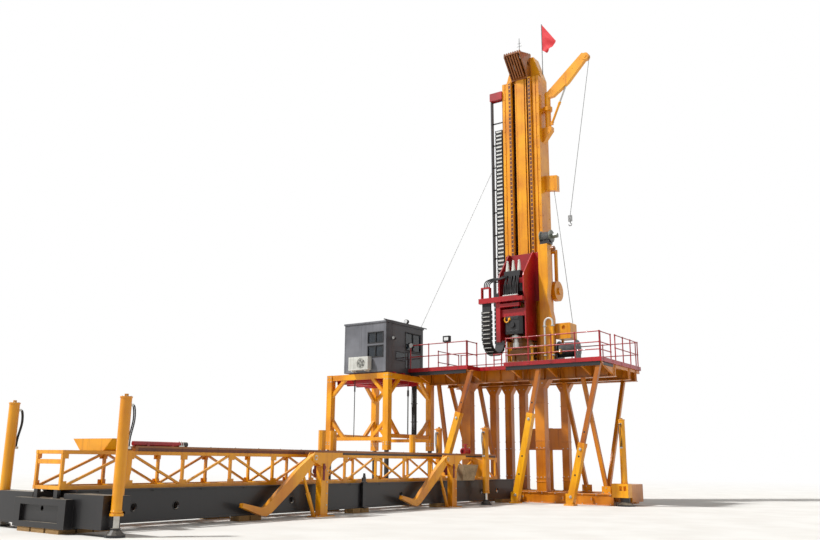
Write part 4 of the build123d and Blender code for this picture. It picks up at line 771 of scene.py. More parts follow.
def pipe(bm, points, r, sides=10, fine=8):
    """A pipe or hose along a smooth line through the points."""
    line = [at(*p) for p in smooth_line(points, fine)]
    rings = []
    side = None
    for i, p in enumerate(line):
        along = (line[min(i + 1, len(line) - 1)] - line[max(i - 1, 0)]).normalized()
        side = along.orthogonal().normalized() if side is None else (side - along * side.dot(along)).normalized()
        other = along.cross(side)
        turns = [2 * math.pi * k / sides for k in range(sides)]
        rings.append([bm.verts.new(p + (side * math.cos(t) + other * math.sin(t)) * r) for t in turns])
    for a, b in zip(rings, rings[1:]):
        for k in range(sides):
            bm.faces.new((a[k], a[(k + 1) % sides], b[(k + 1) % sides], b[k]))
    bm.faces.new(list(reversed(rings[0])))
    bm.faces.new(rings[-1])


def circle(count, reach):
    """Evenly spaced points on a circle about zero, as pairs."""
    turns = [2 * math.pi * k / count for k in range(count)]
    return [(reach * math.cos(t), reach * math.sin(t)) for t in turns]


def ring(bm, middle, turn, big, thin):
    """A round wire hoop about an axis: turn is 'x', 'y' or 'z'."""
    line = []
    for c, s in circle(24, big):
        step = {"x": (0, c, s), "y": (c, 0, s), "z": (c, s, 0)}[turn]
        line.append([m + d for m, d in zip(middle, step)])
    pipe(bm, line + line[:1], thin, 6, 1)


print("a pipe bend in", len(smooth_line([(0, 0, 0), (1, 0, 0), (1, 1, 0)], 8)), "points")

# %% [markdown]
# The legs stand on the base frame in gusseted shoes. Plates stand on both sides of each foot, bolted
# through, and pad eyes along the frame take the lifting slings. All shoes are alike, so one loop sets them.

# %% Leg shoes and pad eyes
shoes = bmesh.new()
nuts = bmesh.new()
for x, y in ((9.87, -5.02), (9.87, 2.69), (11.6, 2.35), (11.6, 1.1), (11.6, -3.4)):
    for s in (-1, 1):
        block(shoes, x + s * 0.085, x + s * 0.1, y - 0.17, y + 0.22, 0.46, 0.78)
        for dy, z in ((-0.1, 0.52), (0.15, 0.52), (0.02, 0.7)):
            bolt(nuts, (x + s * 0.1, y + dy, z), (s, 0, 0), 0.018)
    block(shoes, x - 0.14, x + 0.14, y - 0.2, y + 0.25, 0.46, 0.485)
for y in (-4.4, -3.1, -1.2, 0.6, 2.1):
    block(shoes, 9.6, 9.67, y - 0.02, y + 0.02, 0.14, 0.34)
    ring(nuts, (9.62, y, 0.24), "y", 0.045, 0.012)
bolts(nuts, [9.67], steps(-5.2, 2.9, 0.62), [0.42, 0.05], (-1, 0, 0), 0.016)
piece("leg_shoes_and_pad_eyes", shoes, yellow)
piece("leg_and_frame_bolts", nuts, zinc, bevel=0)

# %% [markdown]
# Jack barrels are turned and honed tube, so they must look truly round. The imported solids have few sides
# to stay light, so a thin smooth sleeve covers each, with a welded collar at both ends, a bolted
# cap and two clamped hoses.

# %% Jack barrels, collars and hoses
def bolt_circle(bm, middle, reach, count, n, r):
    """Bolts on a circle round an upright n, or round one that points along Y."""
    x, y, z = middle
    for c, s in circle(count, reach):
        bolt(bm, (x + c, y + s, z) if n[2] else (x + c, y, z + s), n, r)


JACKS = ((-12.42, -2.35), (-12.42, 2.35), (6.38, -1.15), (6.38, 1.15))
sleeves = bmesh.new()
hoses = bmesh.new()
clamps = bmesh.new()
for x, y, up_by in [(*jack, 0) for jack in JACKS] + [(9.69, -5.83, 0.4)]:
    round_bar(sleeves, (x, y, 0.525 + up_by), (x, y, 3.12 + up_by), 0.1315, 40)
    for z in (0.54, 3.08):
        round_bar(sleeves, (x, y, z + up_by), (x, y, z + up_by + 0.04), 0.142, 40)
    bolt_circle(clamps, (x, y, 3.12 + up_by), 0.11, 6, (0, 0, 1), 0.012)
    out = 1 if x < 0 else -1
    px = x + out * 0.13
    for hose_y in (y - 0.03, y + 0.03):
        pipe(hoses, [(px + out * dx, hose_y, z + up_by) for dx, z in
                     ((0, 2.93), (0.1, 2.9), (0.13, 2.6), (0.05, 2.2), (0.03, 1.95))], 0.016)
    block(clamps, px - 0.02, px + out * 0.07, y - 0.06, y + 0.06, 1.93 + up_by, 1.99 + up_by)
    block(clamps, px - 0.02, px + out * 0.05, y - 0.06, y + 0.06, 2.9 + up_by, 2.96 + up_by)
piece("jack_barrel_sleeves", sleeves, yellow)
piece("jack_hoses", hoses, rubber, bevel=0)
piece("jack_clamps_and_bolts", clamps, zinc, bevel=0.002)

# %% [markdown]
# The jack rods are hard-chromed steel, ground after plating: a bright mirror to the eye, which an oily film
# dulls in patches of 80 mm. Every foot is a pressed steel dish with a bolted keeper ring, and the bolts
# lean outwards with the dish, so each gets its own direction.

# %% Jack rods and foot rings
chrome, tree, shader, spot = new_material("hard_chromed_rod", {"Metallic": 1.0, "Roughness": 0.12})
oil = add(tree, "TexNoise", {"Vector": spot, "Scale": 12.0, "Detail": 4.0})
feed(shader, {"Base Color": add(tree, "Mix", {0: oil, 6: "#C4C4C2", 7: "#9A9488"}, 2, data_type="RGBA"),
              "Roughness": add(tree, "MapRange", {0: oil, 1: 0.0, 2: 1.6, 4: 0.5})})
rods = bmesh.new()
keepers = bmesh.new()
for x, y in JACKS:
    round_bar(rods, (x, y, 0.17), (x, y, 0.46), 0.077, 32)
    round_bar(keepers, (x, y, 0.165), (x, y, 0.2), 0.115, 24)
    for c, s in circle(6, 1):
        bolt(keepers, (x + 0.16 * c, y + 0.16 * s, 0.1), (0.5 * c, 0.5 * s, 0.85), 0.014)
piece("jack_rods", rods, chrome, bevel=0)
piece("jack_foot_rings", keepers, black, bevel=0.002)

# %% [markdown]
# Along the trailer the pipe rails carry a dark strip low on their sides, dark red at the nose end and black further
# back, which is painted shadow from the rail's overhang, and each round hole in the skid has a rim. The strips are
# thin plates on the rails' sides, since a second paint there would show no edge.

# %% Painted shadow strips and skid rims
PIPE_Y, PIPE_Z = -0.5, 2.1           # the short red pipe on the rail
shadow_strip = bmesh.new()
dark = bmesh.new()
for s in (-1, 1):
    block(shadow_strip, -10.6, -4.2, s * 0.565, s * 0.571, 1.905, 1.985)
    block(dark, -3.6, 8.25, s * 0.565, s * 0.571, 1.905, 1.965)
    for x in (-10.728, -9.383, -4.899, -3.554, 0.93, 2.275, 6.759, 8.104):
        ring(dark, (x, s * 0.712, 0.525), "y", 0.106, 0.014)
    bolts(dark, steps(-11.8, 9.3, 1.6), [s * 0.75], [0.93], (0, s, 0), 0.016)
round_bar(dark, (-9.15, PIPE_Y, PIPE_Z), (-8.98, PIPE_Y, PIPE_Z), 0.066, 20)
piece("rail_painted_shadow_strips", shadow_strip, rail_wear_and_shadow, bevel=0.001)
piece("skid_trim_and_shadow_strip", dark, black, bevel=0.002)

# %% [markdown]
# A short red pipe with a grey clamp lies on the near rail, with a red valve and its hand wheel further
# back. Each sits in a saddle on the rail, so nothing floats, and the rails are bolted down in pairs.

# %% Red pipe and valve
VALVE_Y, VALVE_Z = -0.45, 2.14
red_bits = bmesh.new()
round_bar(red_bits, (-10.75, PIPE_Y, PIPE_Z), (-9.15, PIPE_Y, PIPE_Z), 0.06, 20)
for x in (-10.3, -9.5):
    block(red_bits, x - 0.04, x + 0.04, -0.565, -0.435, 2.04, 2.12)
round_bar(red_bits, (5.7, VALVE_Y, VALVE_Z), (6.15, VALVE_Y, VALVE_Z), 0.09, 20)
for x in (5.7, 6.1):
    round_bar(red_bits, (x, VALVE_Y, VALVE_Z), (x + 0.05, VALVE_Y, VALVE_Z), 0.13, 20)
round_bar(red_bits, (5.92, VALVE_Y, 2.2), (5.92, VALVE_Y, 2.42), 0.05, 16)
ring(red_bits, (5.92, VALVE_Y, 2.42), "z", 0.12, 0.014)
block(red_bits, 5.72, 6.12, -0.53, -0.43, 2.04, 2.07)
piece("red_pipe_and_valve_on_rail", red_bits, red)

bm = bmesh.new()
block(bm, -9.3, -9.12, -0.58, -0.42, 2.04, 2.07)
for x in (-9.22, -9.16):
    ring(bm, (x, PIPE_Y, PIPE_Z), "x", 0.072, 0.014)
bolts(bm, steps(-10.9, 8.1, 0.95), [-0.44, 0.44], [2.04], (0, 0, 1), 0.016)
piece("rail_bolts_and_clamp", bm, zinc, bevel=0)

# %% [markdown]
# Small gusset plates stiffen the lattice where its bars meet. They are thin plates on the outer face of
# the chords, one above and one below at every post, and the pitch of the posts gives all their places.

# %% Truss gussets
posts = [-12.705] + [-10.83 + 1.74 * k for k in range(12)]
bm = bmesh.new()
for x in posts:
    for s in (-1, 1):
        for z0, z1 in ((0.98, 1.18), (1.7, 1.9)):
            block(bm, max(x - 0.12, -12.74), x + 0.12, s * 0.558, s * 0.567, z0, z1)
piece("truss_gussets", bm, yellow, bevel=0.002)

# %% [markdown]
# Behind each loading arm sit dark red hinge castings with wide, soft edges, as sand moulds leave them.
# Pin heads with keeper bolts show on the fork, and the foot plates are bolted to their pads. Both arms
# are alike, so one loop serves them.

# %% Loading arm hardware
hinge_red = enamel("dark_red_casting_enamel", "#7E1A1C", "#6A5A5A", roughness=0.5, wear=0.9)
cast = bmesh.new()
bits = bmesh.new()
for x in (-3.88, 3.9):
    block(cast, x - 0.52, x - 0.16, -0.93, -0.9, 1.58, 1.9)
    block(cast, x - 0.09, x + 0.16, -0.92, -0.76, 1.2, 1.56)
    block(cast, x - 0.05, x + 0.3, -0.92, -0.7, 1.84, 1.95)
    round_bar(cast, (x - 0.02, -0.94, 1.38), (x - 0.02, -0.72, 1.38), 0.09, 20)
    block(cast, x - 0.115, x - 0.02, -1.185, -1.161, 1.1, 1.62)
    round_bar(cast, (x - 0.065, -1.161, 1.5), (x - 0.065, -1.2, 1.5), 0.07, 20)
    for y, s in ((-1.16, -1), (-0.94, 1)):
        round_bar(bits, (x - 0.45, y, 1.8), (x - 0.45, y + s * 0.012, 1.8), 0.075, 20)
        bolt_circle(bits, (x - 0.45, y + s * 0.012, 1.8), 0.055, 3, (0, s, 0), 0.01)
    bolts(bits, [x + dx for dx in (-0.4, -0.25, 0.27, 0.38)], [-1.21, -0.89], [0.03], (0, 0, 1), 0.018)
    bolts(bits, [x + 0.1], [-1.165], [0.35, 0.7, 1.05, 1.4], (0, -1, 0), 0.014)
piece("arm_hinge_castings", cast, hinge_red, bevel=0.012)
piece("arm_pin_caps_and_bolts", bits, zinc, bevel=0.001)

# %% [markdown]
# A stub stands on a black bracket at the skid's near side, between the two arms. It is welded plate with
# a turned cap, so three blocks and a cone give it.

# %% Bracket on the skid's side
bm = bmesh.new()
block(bm, -1.47, -1.31, -0.82, -0.75, 0.15, 1.16)
block(bm, -1.5, -1.28, -0.86, -0.75, 0.96, 1.02)
block(bm, -1.5, -1.28, -0.9, -0.75, 0.15, 0.19)
round_bar(bm, (-1.39, -0.8, 1.16), (-1.39, -0.8, 1.3), 0.055, 16, 0.035)
piece("skid_side_bracket", bm, black, bevel=0.006)

# %% [markdown]
# The carriage carries the rotary head. A bunch of black hydraulic hoses drops from its manifold to a
# clamp bar on the cross arm, and four more come over from the chain's end. Both ends are held, so they
# are drawn as they lie, not simulated. Hoses show by their droop, and each takes a slightly different
# curve from a seeded random draw.

# %% Hose bunch on the carriage
random.seed(7)
hoses = bmesh.new()
clamps = bmesh.new()
for k in range(9):
    y = -1.0 + 0.088 * k
    wave = random.uniform(-0.05, 0.05)
    pipe(hoses, [(10.06, y * 0.9 - 0.06, 10.42), (9.98, y + wave, 10.28), (9.9 + wave * 0.5, y + wave * 0.6, 9.95),
                 (9.91, y - wave * 0.5, 9.7), (9.86, y, 9.41)], 0.027)
for k in range(4):
    y = 0.52 + 0.09 * k
    pipe(hoses, [(9.86, y, 9.86), (9.83, y - 0.1, 10.12 + 0.03 * k), (9.83, y - 0.5, 10.24 + 0.03 * k),
                 (9.9, y - 0.85, 10.33), (10.04, y - 0.95, 10.45)], 0.027)
block(clamps, 9.8, 9.92, -1.04, -0.24, 9.4, 9.46)
block(clamps, 9.84, 9.9, 0.5, 0.84, 9.88, 9.94)
bolts(clamps, [9.8], [-0.98 + 0.08 * k for k in range(10)], [9.43], (-1, 0, 0), 0.014)
piece("carriage_hoses", hoses, rubber, "carriage", bevel=0)
piece("carriage_hose_clamps", clamps, zinc, "carriage", bevel=0.002)

# %% [markdown]
# Three long white nipples stand on the manifold. They are turned parts, so each is a cone with a
# narrower one on top.

# %% Manifold nipples
bm = bmesh.new()
for y in (MIDDLE - 0.31, MIDDLE, MIDDLE + 0.31):
    round_bar(bm, (10.2, y, 10.66), (10.2, y, 11.14), 0.107, 24, 0.05)
    round_bar(bm, (10.2, y, 11.13), (10.2, y, 11.2), 0.062, 16, 0.045)
piece("manifold_nipples", bm, white_enamel, "carriage", bevel=0)

# %% [markdown]
# Many bolts make the head look like a machine. They sit in rows along the cheeks and the arm, so each row
# is given by its two ends and its pitch, as on a drawing. Two round bosses cover the guide rollers on each
# cheek.

# %% Bolts and bosses on the carriage
bm = bmesh.new()
for s in (-1, 1):
    y = MIDDLE + s * 0.675
    bolts(bm, [10.16], [y], steps(9.55, 10.3, 0.25) + steps(7.5, 9.0, 0.3), (0, s, 0), 0.02)
    bolts(bm, [11.02], [y], steps(7.5, 11.5, 0.4), (0, s, 0), 0.02)
    round_bar(bm, (10.6, y, 9.9), (10.6, y + s * 0.03, 9.9), 0.1, 20)
    round_bar(bm, (10.6, y, 8.2), (10.6, y + s * 0.03, 8.2), 0.08, 20)
bolts(bm, [10.06], steps(-1.2, -0.1, 0.18), [8.73, 8.53], (-1, 0, 0), 0.018)
bolts(bm, [9.75], steps(-0.95, 0.95, 0.38), [9.2], (-1, 0, 0), 0.016)
piece("carriage_bolts", bm, red, "carriage", bevel=0)

# %% [markdown]
# The gearbox has two cover strips with bolts and a round inspection plug, and a bent yellow hook on a
# small bracket. The hook is a short pipe along five points, which gives its bend without a mould.

# %% Gearbox covers and hook
bm = bmesh.new()
for z in (8.34, 7.72):
    block(bm, 9.962, 9.98, -0.98, -0.32, z - 0.06, z + 0.06)
    bolts(bm, [9.962], steps(-0.92, -0.38, 0.18), [z], (-1, 0, 0), 0.018)
round_bar(bm, (9.9, MIDDLE, 8.03), (9.98, MIDDLE, 8.03), 0.13, 24)
piece("gearbox_covers", bm, black, "carriage")
hook = bmesh.new()
pipe(hook, [(9.95, -0.5, 8.32), (9.92, -0.46, 8.2), (9.9, -0.36, 8.16), (9.9, -0.28, 8.26), (9.92, -0.3, 8.4)], 0.032)
block(hook, 9.93, 9.965, -0.56, -0.44, 8.26, 8.38)
piece("gearbox_hook", hook, yellow, "carriage", bevel=0.003)

# %% [markdown]
# Twelve bolts hold the spindle's flange from below. They could be an array round an empty, but a circle of
# plain forms is one piece, and it rides on the spindle's body, so it turns with it.

# %% Spindle flange bolts
WELL_X = 10.35       # the well's line, where the spindle turns
bm = bmesh.new()
bolt_circle(bm, (WELL_X, MIDDLE, 7.42), 0.2, 12, (0, 0, -1), 0.02)
piece("spindle_flange_bolts", bm, zinc, "spindle", bevel=0)

# %% [markdown]
# The crown's hood ends in a row of small lugs along its front edge, and its cheeks are bolted on. The
# sheaves between the slats have bright, rope-polished rims, and a hoop round each sheave's edge is
# enough, because only the edge shows.

# %% Crown details
bm = bmesh.new()
for y in steps(-1.08, -0.22, 0.123):
    block(bm, 10.49, 10.6, y - 0.028, y + 0.028, 22.235, 22.33)
for s in (-1, 1):
    for x, z in ((10.62, 22.2), (10.8, 22.28), (11.0, 22.36), (11.2, 22.44), (11.4, 22.5), (11.6, 22.55),
                 (11.45, 21.2), (11.6, 21.2), (10.68, 22.08), (11.0, 21.6), (11.15, 21.4)):
        bolt(bm, (x, MIDDLE + s * 0.471, z), (0, s, 0), 0.02)
# The lugs and bolts take the crown's brown, which is painted shade.
piece("crown_lugs_and_bolts", bm, crown_paint_with_shade, bevel=0.002)
bm = bmesh.new()
for dy in (-0.282, -0.094, 0.094, 0.282):
    ring(bm, (11.23, MIDDLE + dy, 21.859), "y", 0.352, 0.018)
piece("crown_sheave_rims", bm, zinc, bevel=0)

# %% [markdown]
# The jib's luffing cylinder shows a chromed rod at its upper end, with welded collars below. The sheave
# at the boom's tip has a cheek plate and a pin on each side, and bolts run up the boom. All of it swings
# with the jib, so it rides on that body.

# %% Jib rod, collars and pins
JIB_X = 11.85
foot, head = Vector((JIB_X, -2.15, 18.48)), Vector((JIB_X, -2.99, 20.38))
bm = bmesh.new()
round_bar(bm, foot.lerp(head, 0.56), foot.lerp(head, 0.97), 0.0425, 24)
piece("jib_cylinder_rod", bm, chrome, "jib", bevel=0)
bm = bmesh.new()
for t, r in ((0.03, 0.075), (0.5, 0.075), (0.54, 0.07)):
    round_bar(bm, foot.lerp(head, t), foot.lerp(head, t + 0.03), r, 20)
for s in (-1, 1):
    x = JIB_X + s * 0.13
    round_bar(bm, (x, -4.1, 21.62), (x + s * 0.02, -4.1, 21.62), 0.075, 20)
    for y, z in ((-2.1, 20.1), (-2.3, 20.2), (-2.9, 20.72), (-3.4, 21.15), (-3.8, 21.55)):
        bolt(bm, (JIB_X + s * 0.11, y, z), (s, 0, 0), 0.016)
piece("jib_collars_and_pins", bm, yellow, "jib", bevel=0.002)

# %% [markdown]
# A hydraulic hose runs along the boom's far side, held tight against it, so it is a fixed form.
# The post's two brackets stay on the mast, and their bolts stay with them.

# %% Jib hose and bracket bolts
bm = bmesh.new()
pipe(bm, [(11.965, -1.97, 20.0), (11.972, -2.25, 20.28), (11.972, -2.9, 20.82), (11.972, -3.5, 21.35),
          (11.965, -3.85, 21.65)], 0.014)
piece("jib_hose", bm, rubber, "jib", bevel=0)
bm = bmesh.new()
bolts(bm, [11.69], [-1.78, -2.0], [17.6, 17.8, 18.0, 18.2], (-1, 0, 0), 0.018)
bolts(bm, [11.7], [-1.8, -2.0, -2.2], [14.98, 15.58], (-1, 0, 0), 0.018)
piece("jib_bracket_bolts", bm, yellow, bevel=0)

# %% [markdown]
# The cabin's windows sit in black rubber gaskets with a middle bar, and the near wall has two dark lower
# panes in the same gaskets. A gasket is four bars in a rectangle, which one function makes on any wall.

# %% Window and door gaskets
def surround(bm, w, x0, x1, y0, y1, z0, z1):
    """A rectangle of bars, 2 w wide, on an upright wall that is thin along X or along Y."""
    if x1 - x0 < y1 - y0:
        uprights = [(x0, x1, y - w, y + w) for y in (y0, y1)]
    else:
        uprights = [(x - w, x + w, y0, y1) for x in (x0, x1)]
    for upright in uprights:
        block(bm, *upright, z0 - w, z1 + w)
    for z in (z0, z1):
        block(bm, x0, x1, y0, y1, z - w, z + w)


seal = bmesh.new()
for z0, z1 in ((7.15, 7.66), (6.48, 7.02)):
    surround(seal, 0.022, 6.442, 6.462, 4.32, 5.22, z0, z1)
    block(seal, 6.446, 6.5, 4.75, 4.79, z0, z1)
surround(seal, 0.025, 8.02, 9.32, 4.122, 4.142, 6.93, 7.8)
block(seal, 8.65, 8.69, 4.126, 4.18, 6.93, 7.8)
surround(seal, 0.02, 7.25, 8.0, 4.128, 4.142, 6.39, 6.78)
surround(seal, 0.02, 8.04, 9.3, 4.128, 4.142, 6.06, 6.84)
surround(seal, 0.02, 9.538, 9.552, 4.94, 5.84, 5.86, 7.86)
piece("window_and_door_seals", seal, rubber)
panes = bmesh.new()
block(panes, 7.25, 8.0, 4.13, 4.14, 6.39, 6.78)
block(panes, 8.04, 9.3, 4.13, 4.14, 6.06, 6.84)
piece("near_wall_dark_panes", panes, glass, bevel=0)

# %% [markdown]
# Folded strips cover the cabin's corners and two of its sheet joints. They are 6 mm thick and 60 mm wide
# on each wall, and their edges catch the light where bare sheet would look like a box.

# %% Cabin corner strips
SILL, EAVES = 5.8, 8.16
strips = bmesh.new()
for x, sx in ((6.46, -1), (9.54, 1)):
    for y, sy in ((4.14, -1), (6.64, 1)):
        block(strips, x, x - sx * 0.06, y, y + sy * 0.006, SILL, EAVES)
        block(strips, x, x + sx * 0.006, y, y - sy * 0.06, SILL, EAVES)
block(strips, 6.94, 6.96, 4.134, 4.14, SILL, EAVES)
block(strips, 6.454, 6.46, 5.62, 5.64, 6.52, EAVES)
piece("cabin_corner_strips", strips, cabin_sheet, bevel=0.002)

# %% [markdown]
# The cooler shows a wire grille over its fan, beside a louvred panel. The grille's hoops and spokes are
# real wire 10 to 12 mm thick, because a net pattern would show no depth over the fan behind it.

# %% Cooler grille and fan
FAN_Y, FAN_Z = 5.36, 6.18
bm = bmesh.new()
for r in (0.06, 0.12, 0.18, 0.235):
    ring(bm, (6.094, FAN_Y, FAN_Z), "x", r, 0.006)
for c, s in circle(16, 0.235)[:8]:
    round_bar(bm, (6.096, FAN_Y - c, FAN_Z - s), (6.096, FAN_Y + c, FAN_Z + s), 0.005, 6)
for z in steps(5.96, 6.4, 0.055):
    block(bm, 6.092, 6.1, 5.66, 6.04, z - 0.008, z + 0.008)
for y in (5.1, 6.04):
    block(bm, 6.36, 6.44, y - 0.02, y + 0.02, 5.82, 5.9)
piece("cooler_grille", bm, white_enamel, bevel=0)
bm = bmesh.new()
for c, s in circle(5, 0.2):
    flat_bar(bm, (6.125, FAN_Y, FAN_Z), (6.125, FAN_Y + c, FAN_Z + s), 0.01, 0.1)
round_bar(bm, (6.105, FAN_Y, FAN_Z), (6.165, FAN_Y, FAN_Z), 0.05, 16)
piece("cooler_fan", bm, black, bevel=0.002)

# %% [markdown]
# Work lamps stand on the cabin's roof edge and on its wall, and a floodlight stands on a pole at the platform's rail.
# Each is a cast black housing, with cooling ribs on the floodlight. The lens is clear pressed glass, sparkling from
# its prisms, which a Voronoi pattern gives 22 mm apart as relief; its pale colour and the same pattern in it are a
# painted glint.

# %% Lamps
lamp_glass, tree, shader, spot = new_material("clear_lamp_glass", {"Roughness": 0.08, "IOR": 1.5})
prisms = add(tree, "TexVoronoi", {"Vector": spot, "Scale": 45.0}, "Distance")
feed(shader, {"Base Color": add(tree, "Mix", {0: prisms, 6: "#C9CDD0", 7: "#F0F1EE"}, 2, data_type="RGBA"),
              "Normal": add(tree, "Bump", {"Height": prisms, "Strength": 0.4, "Distance": 0.002})})
housing = bmesh.new()
glasses = bmesh.new()
arms = bmesh.new()
for x, y, z, r, foot in ((8.26, 4.24, 8.36, 0.11, (8.26, 4.24, 8.17)), (8.39, 4.0, 7.18, 0.12, (8.39, 4.14, 7.3)),
                         (6.97, 4.04, 7.39, 0.08, (6.97, 4.14, 7.46))):
    round_bar(housing, (x - 0.09, y, z), (x + 0.06, y, z), r, 24)
    round_bar(housing, (x + 0.06, y, z), (x + 0.12, y, z), 0.8 * r, 24, 0.4 * r)
    round_bar(glasses, (x - 0.1, y, z), (x - 0.088, y, z), 0.88 * r, 24)
    round_bar(arms, (x, y, z), foot, 0.016, 10)
    round_bar(arms, Vector(foot) - Vector((0.03, 0, 0)), Vector(foot) + Vector((0.03, 0, 0)), 0.03, 10)
x, y = 8.35, 1.99
round_bar(arms, (x, y, 7.16), (x, y, 7.24), 0.025, 12)
block(housing, x - 0.05, x + 0.1, y - 0.18, y + 0.18, 7.22, 7.5)
for dy in steps(-0.15, 0.15, 0.05):
    block(housing, x + 0.1, x + 0.14, y + dy - 0.006, y + dy + 0.006, 7.24, 7.48)
block(glasses, x - 0.058, x - 0.05, y - 0.12, y + 0.12, 7.28, 7.44)
surround(housing, 0.03, x - 0.066, x - 0.05, y - 0.15, y + 0.15, 7.25, 7.47)
piece("lamp_housings", housing, black)
piece("lamp_glasses", glasses, lamp_glass, bevel=0.002)
piece("lamp_arms", arms, black, bevel=0)

# %% [markdown]
# The roof carries a cable conduit along its near edge, in clips. The rear door has a lever handle on a
# plate and three barrel hinges. They are small, but they tell which wall opens.

# %% Roof conduit and door fittings
bm = bmesh.new()
pipe(bm, [(6.5, 4.2, 8.2), (6.9, 4.2, 8.24), (7.6, 4.2, 8.24), (9.3, 4.2, 8.24), (9.5, 4.2, 8.2)], 0.022, 10, 4)
for x in (6.9, 7.6, 8.6, 9.3):
    block(bm, x - 0.02, x + 0.02, 4.17, 4.23, 8.18, 8.25)
piece("roof_conduit", bm, black, bevel=0)
bm = bmesh.new()
round_bar(bm, (9.54, 5.04, 6.86), (9.6, 5.04, 6.86), 0.018, 12)
round_bar(bm, (9.6, 5.03, 6.86), (9.6, 5.17, 6.86), 0.014, 12)
block(bm, 9.54, 9.548, 5.01, 5.07, 6.78, 6.94)
for z in (6.1, 6.86, 7.6):
    round_bar(bm, (9.556, 5.85, z - 0.06), (9.556, 5.85, z + 0.06), 0.014, 12)
    block(bm, 9.538, 9.552, 5.78, 5.92, z - 0.05, z + 0.05)
piece("door_handle_and_hinges", bm, zinc, bevel=0.002)

# %% [markdown]
# Behind the tinted glass stand a seat on a pedestal and the driller's console with four levers. Only
# dark shapes show through, so simple forms with wide broken edges do.

# %% Seat and console
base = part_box("cabin_floor")[1].z
bm = bmesh.new()
round_bar(bm, (8.4, 5.3, base), (8.4, 5.3, base + 0.42), 0.05, 16)
round_bar(bm, (8.4, 5.3, base), (8.4, 5.3, base + 0.03), 0.24, 24)
block(bm, 8.16, 8.64, 5.06, 5.54, base + 0.42, base + 0.48)
block(bm, 8.6, 8.66, 5.06, 5.54, base + 0.46, base + 1.08)
for y in (5.02, 5.54):
    block(bm, 8.2, 8.6, y, y + 0.04, base + 0.66, base + 0.7)
    block(bm, 8.56, 8.6, y, y + 0.04, base + 0.46, base + 0.7)
block(bm, 7.4, 7.8, 4.6, 6.0, base, base + 0.78)
flat_bar(bm, (7.38, 5.3, base + 0.78), (7.84, 5.3, base + 0.9), 1.4, 0.05)
for y in (4.9, 5.15, 5.45, 5.7):
    round_bar(bm, (7.66, y, base + 0.84), (7.66, y, base + 1.0), 0.018, 10)
piece("seat_and_console", bm, black, bevel=0.012)

# %% [markdown]
# Wire rope lies on the winch drums in even turns, one rope's width apart, and that fine ribbing is what
# tells a loaded drum from a plain roller. A true helix would look the same, so each turn is a plain hoop.

# %% Rope on the winch drums
DRUM_X, DRUM_Z = 11.35, 6.865
wraps = bmesh.new()
for k in range(25):
    ring(wraps, (DRUM_X, -3.2 + 0.03 * k, DRUM_Z), "y", 0.334, 0.0145)
for k in range(12):
    ring(wraps, (11.1, -2.2 + 0.034 * k, 12.38), "y", 0.234, 0.0155)
piece("drum_rope_turns", wraps, wire, bevel=0)

# %% [markdown]
# Ten bolts hold the drum's end plate and ten the rotary table's rim, both from the same bolt circle. The pipe handler
# beside the mast carries a knob on its column, turned in two widths, and bolts at its foot. Both take the crown's
# brown, which is painted shade.

# %% Drum, table and handler fittings
bm = bmesh.new()
bolt_circle(bm, (DRUM_X, -3.3, DRUM_Z), 0.27, 10, (0, -1, 0), 0.018)
bolt_circle(bm, (WELL_X, MIDDLE, 6.3), 0.37, 10, (0, 0, 1), 0.022)
piece("drum_and_table_bolts", bm, zinc, bevel=0)
bm = bmesh.new()
round_bar(bm, (11.1, -2.24, 11.75), (11.1, -2.4, 11.75), 0.13, 24)
round_bar(bm, (11.1, -2.4, 11.75), (11.1, -2.44, 11.75), 0.06, 16)
bolts(bm, [10.95, 11.25], [-2.25], [6.3, 6.6, 7.0, 7.4], (0, -1, 0), 0.02)
piece("handler_knob_and_bolts", bm, crown_paint_with_shade)

# %% [markdown]
# The standpipe is a white arch between two legs. A yellow sleeve covers one leg's lower part, and a
# flange marks each joint. Both are turned rings a little wider than the pipe.

# %% Standpipe sleeve and flanges
bm = bmesh.new()
round_bar(bm, (10.3, -2.55, 6.97), (10.3, -2.55, 7.85), 0.062, 24)
piece("standpipe_yellow_sleeve", bm, yellow, bevel=0.002)
bm = bmesh.new()
for y in (-2.15, -2.55):
    for z in (6.06, 6.5, 7.86):
        round_bar(bm, (10.3, y, z), (10.3, y, z + 0.05), 0.085, 20)
piece("standpipe_flanges", bm, zinc, bevel=0.002)

# %% [markdown]
# Under the floor a return pipe stands behind the rear columns, with a wide flange at its foot and a smaller
# one on top. Rounds with many sides keep it smooth where the sun grazes it.

# %% Return pipe
bm = bmesh.new()
for z0, z1, r in ((0.46, 3.3, 0.08), (0.46, 0.5, 0.14), (3.26, 3.32, 0.12)):
    round_bar(bm, (12.5, -1.25, z0), (12.5, -1.25, z1), r, 24)
piece("return_pipe", bm, yellow, bevel=0.002)

# %% [markdown]
# Two thin tie rods with turnbuckles and a strapped bundle of black hoses hang in the cabin's frame. Each
# hose is clamped at both ends, so it is drawn as it lies, with a small sway of its own from the same seed.

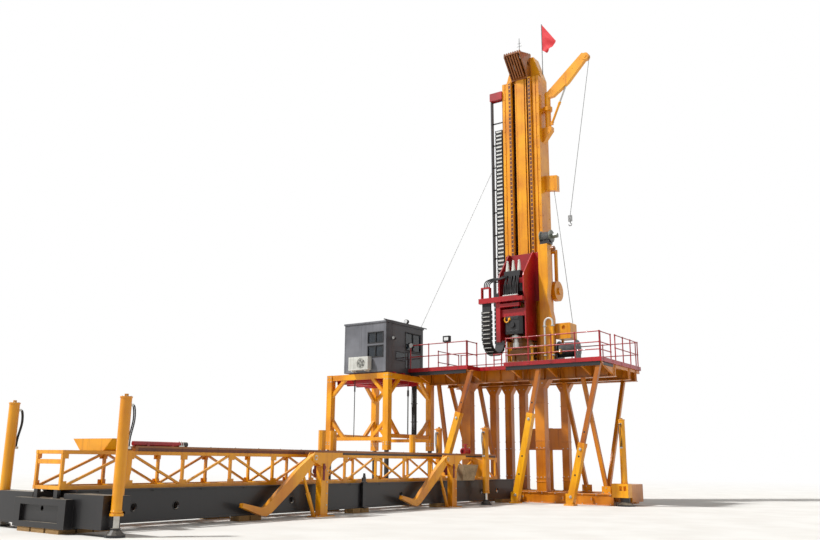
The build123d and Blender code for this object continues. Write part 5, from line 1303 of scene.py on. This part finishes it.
# %% Tie rods and hose bundle
bm = bmesh.new()
for x, y, r in ((6.55, 6.03, 0.02), (10.06, 5.38, 0.03)):
    round_bar(bm, (x, y, 2.78), (x, y, 5.47), r, 12)
    round_bar(bm, (x, y, 4.9), (x, y, 5.2), 1.8 * r, 12)
piece("frame_tie_rods", bm, black, bevel=0)
hoses = bmesh.new()
clamps = bmesh.new()
for k in range(6):
    y = 4.87 + 0.052 * k
    sway = random.uniform(-0.03, 0.03)
    pipe(hoses, [(10.06, y, 5.45), (10.06 + sway, y + sway * 0.4, 4.6), (10.06 - sway, y - sway * 0.3, 3.7),
                 (10.06, y, 2.9)], 0.023)
for z in (2.9, 5.36):
    block(clamps, 10.02, 10.1, 4.82, 5.18, z, z + 0.05)
for z in (3.6, 4.5):
    block(clamps, 10.01, 10.11, 4.83, 5.17, z, z + 0.035)
piece("frame_hose_bundle", hoses, rubber, bevel=0)
piece("frame_hose_clamps", clamps, black, bevel=0.002)

# %% [markdown]
# The cabin's frame is bolted together at its four posts, just below the top beams and above the feet.
# Heads go on the two faces of each post that the camera sees, to the nose and to the near side.

# %% Cabin frame bolts
bm = bmesh.new()
heights = (2.45, 2.55, 5.42, 5.6)
for x in (6.4, 9.98):
    for y in (3.95, 7.35):
        bolts(bm, [x], [y + 0.07, y + 0.23], heights, (-1, 0, 0), 0.018)
        bolts(bm, [x + 0.07, x + 0.23], [y], heights, (0, -1, 0), 0.018)
piece("cabin_frame_bolts", bm, zinc, bevel=0)

# %% [markdown]
# The flag is one loose cloth. It hangs from its pole and folds in soft ripples that run down from the
# upper corner. A cloth simulation would settle it by gravity alone, and the real one is blown, so it is
# built as a grid between four corners, rippled by two waves that grow away from the pole.

# %% Flag
POLE_X, POLE_Y, TOP = 12.2, -1.587, 24.37
outer, lower, hoist = Vector((-0.8, -1.2)), Vector((-0.24, -1.7)), Vector((0.0, -1.5))
CELLS = 28
bm = bmesh.new()
grid = []
for i in range(CELLS + 1):
    row = []
    for j in range(CELLS + 1):
        u, v = i / CELLS, j / CELLS
        y, z = outer * (u * (1 - v)) + lower * (u * v) + hoist * ((1 - u) * v)
        x = 0.05 * u * math.sin(9.0 * v + 5.0 * u) + 0.02 * u * math.sin(17.0 * v)
        row.append(bm.verts.new(at(POLE_X + x, POLE_Y + y, TOP + z)))
    grid.append(row)
for i in range(CELLS):
    for j in range(CELLS):
        bm.faces.new((grid[i][j], grid[i + 1][j], grid[i + 1][j + 1], grid[i][j + 1]))
mesh_area = sum(face.calc_area() for face in bm.faces)
banner = piece("flag_cloth", bm, cloth, bevel=0)
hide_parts("flag")
print("flag area", round(mesh_area, 3), "square metres")

# %% [markdown] That is the last piece.
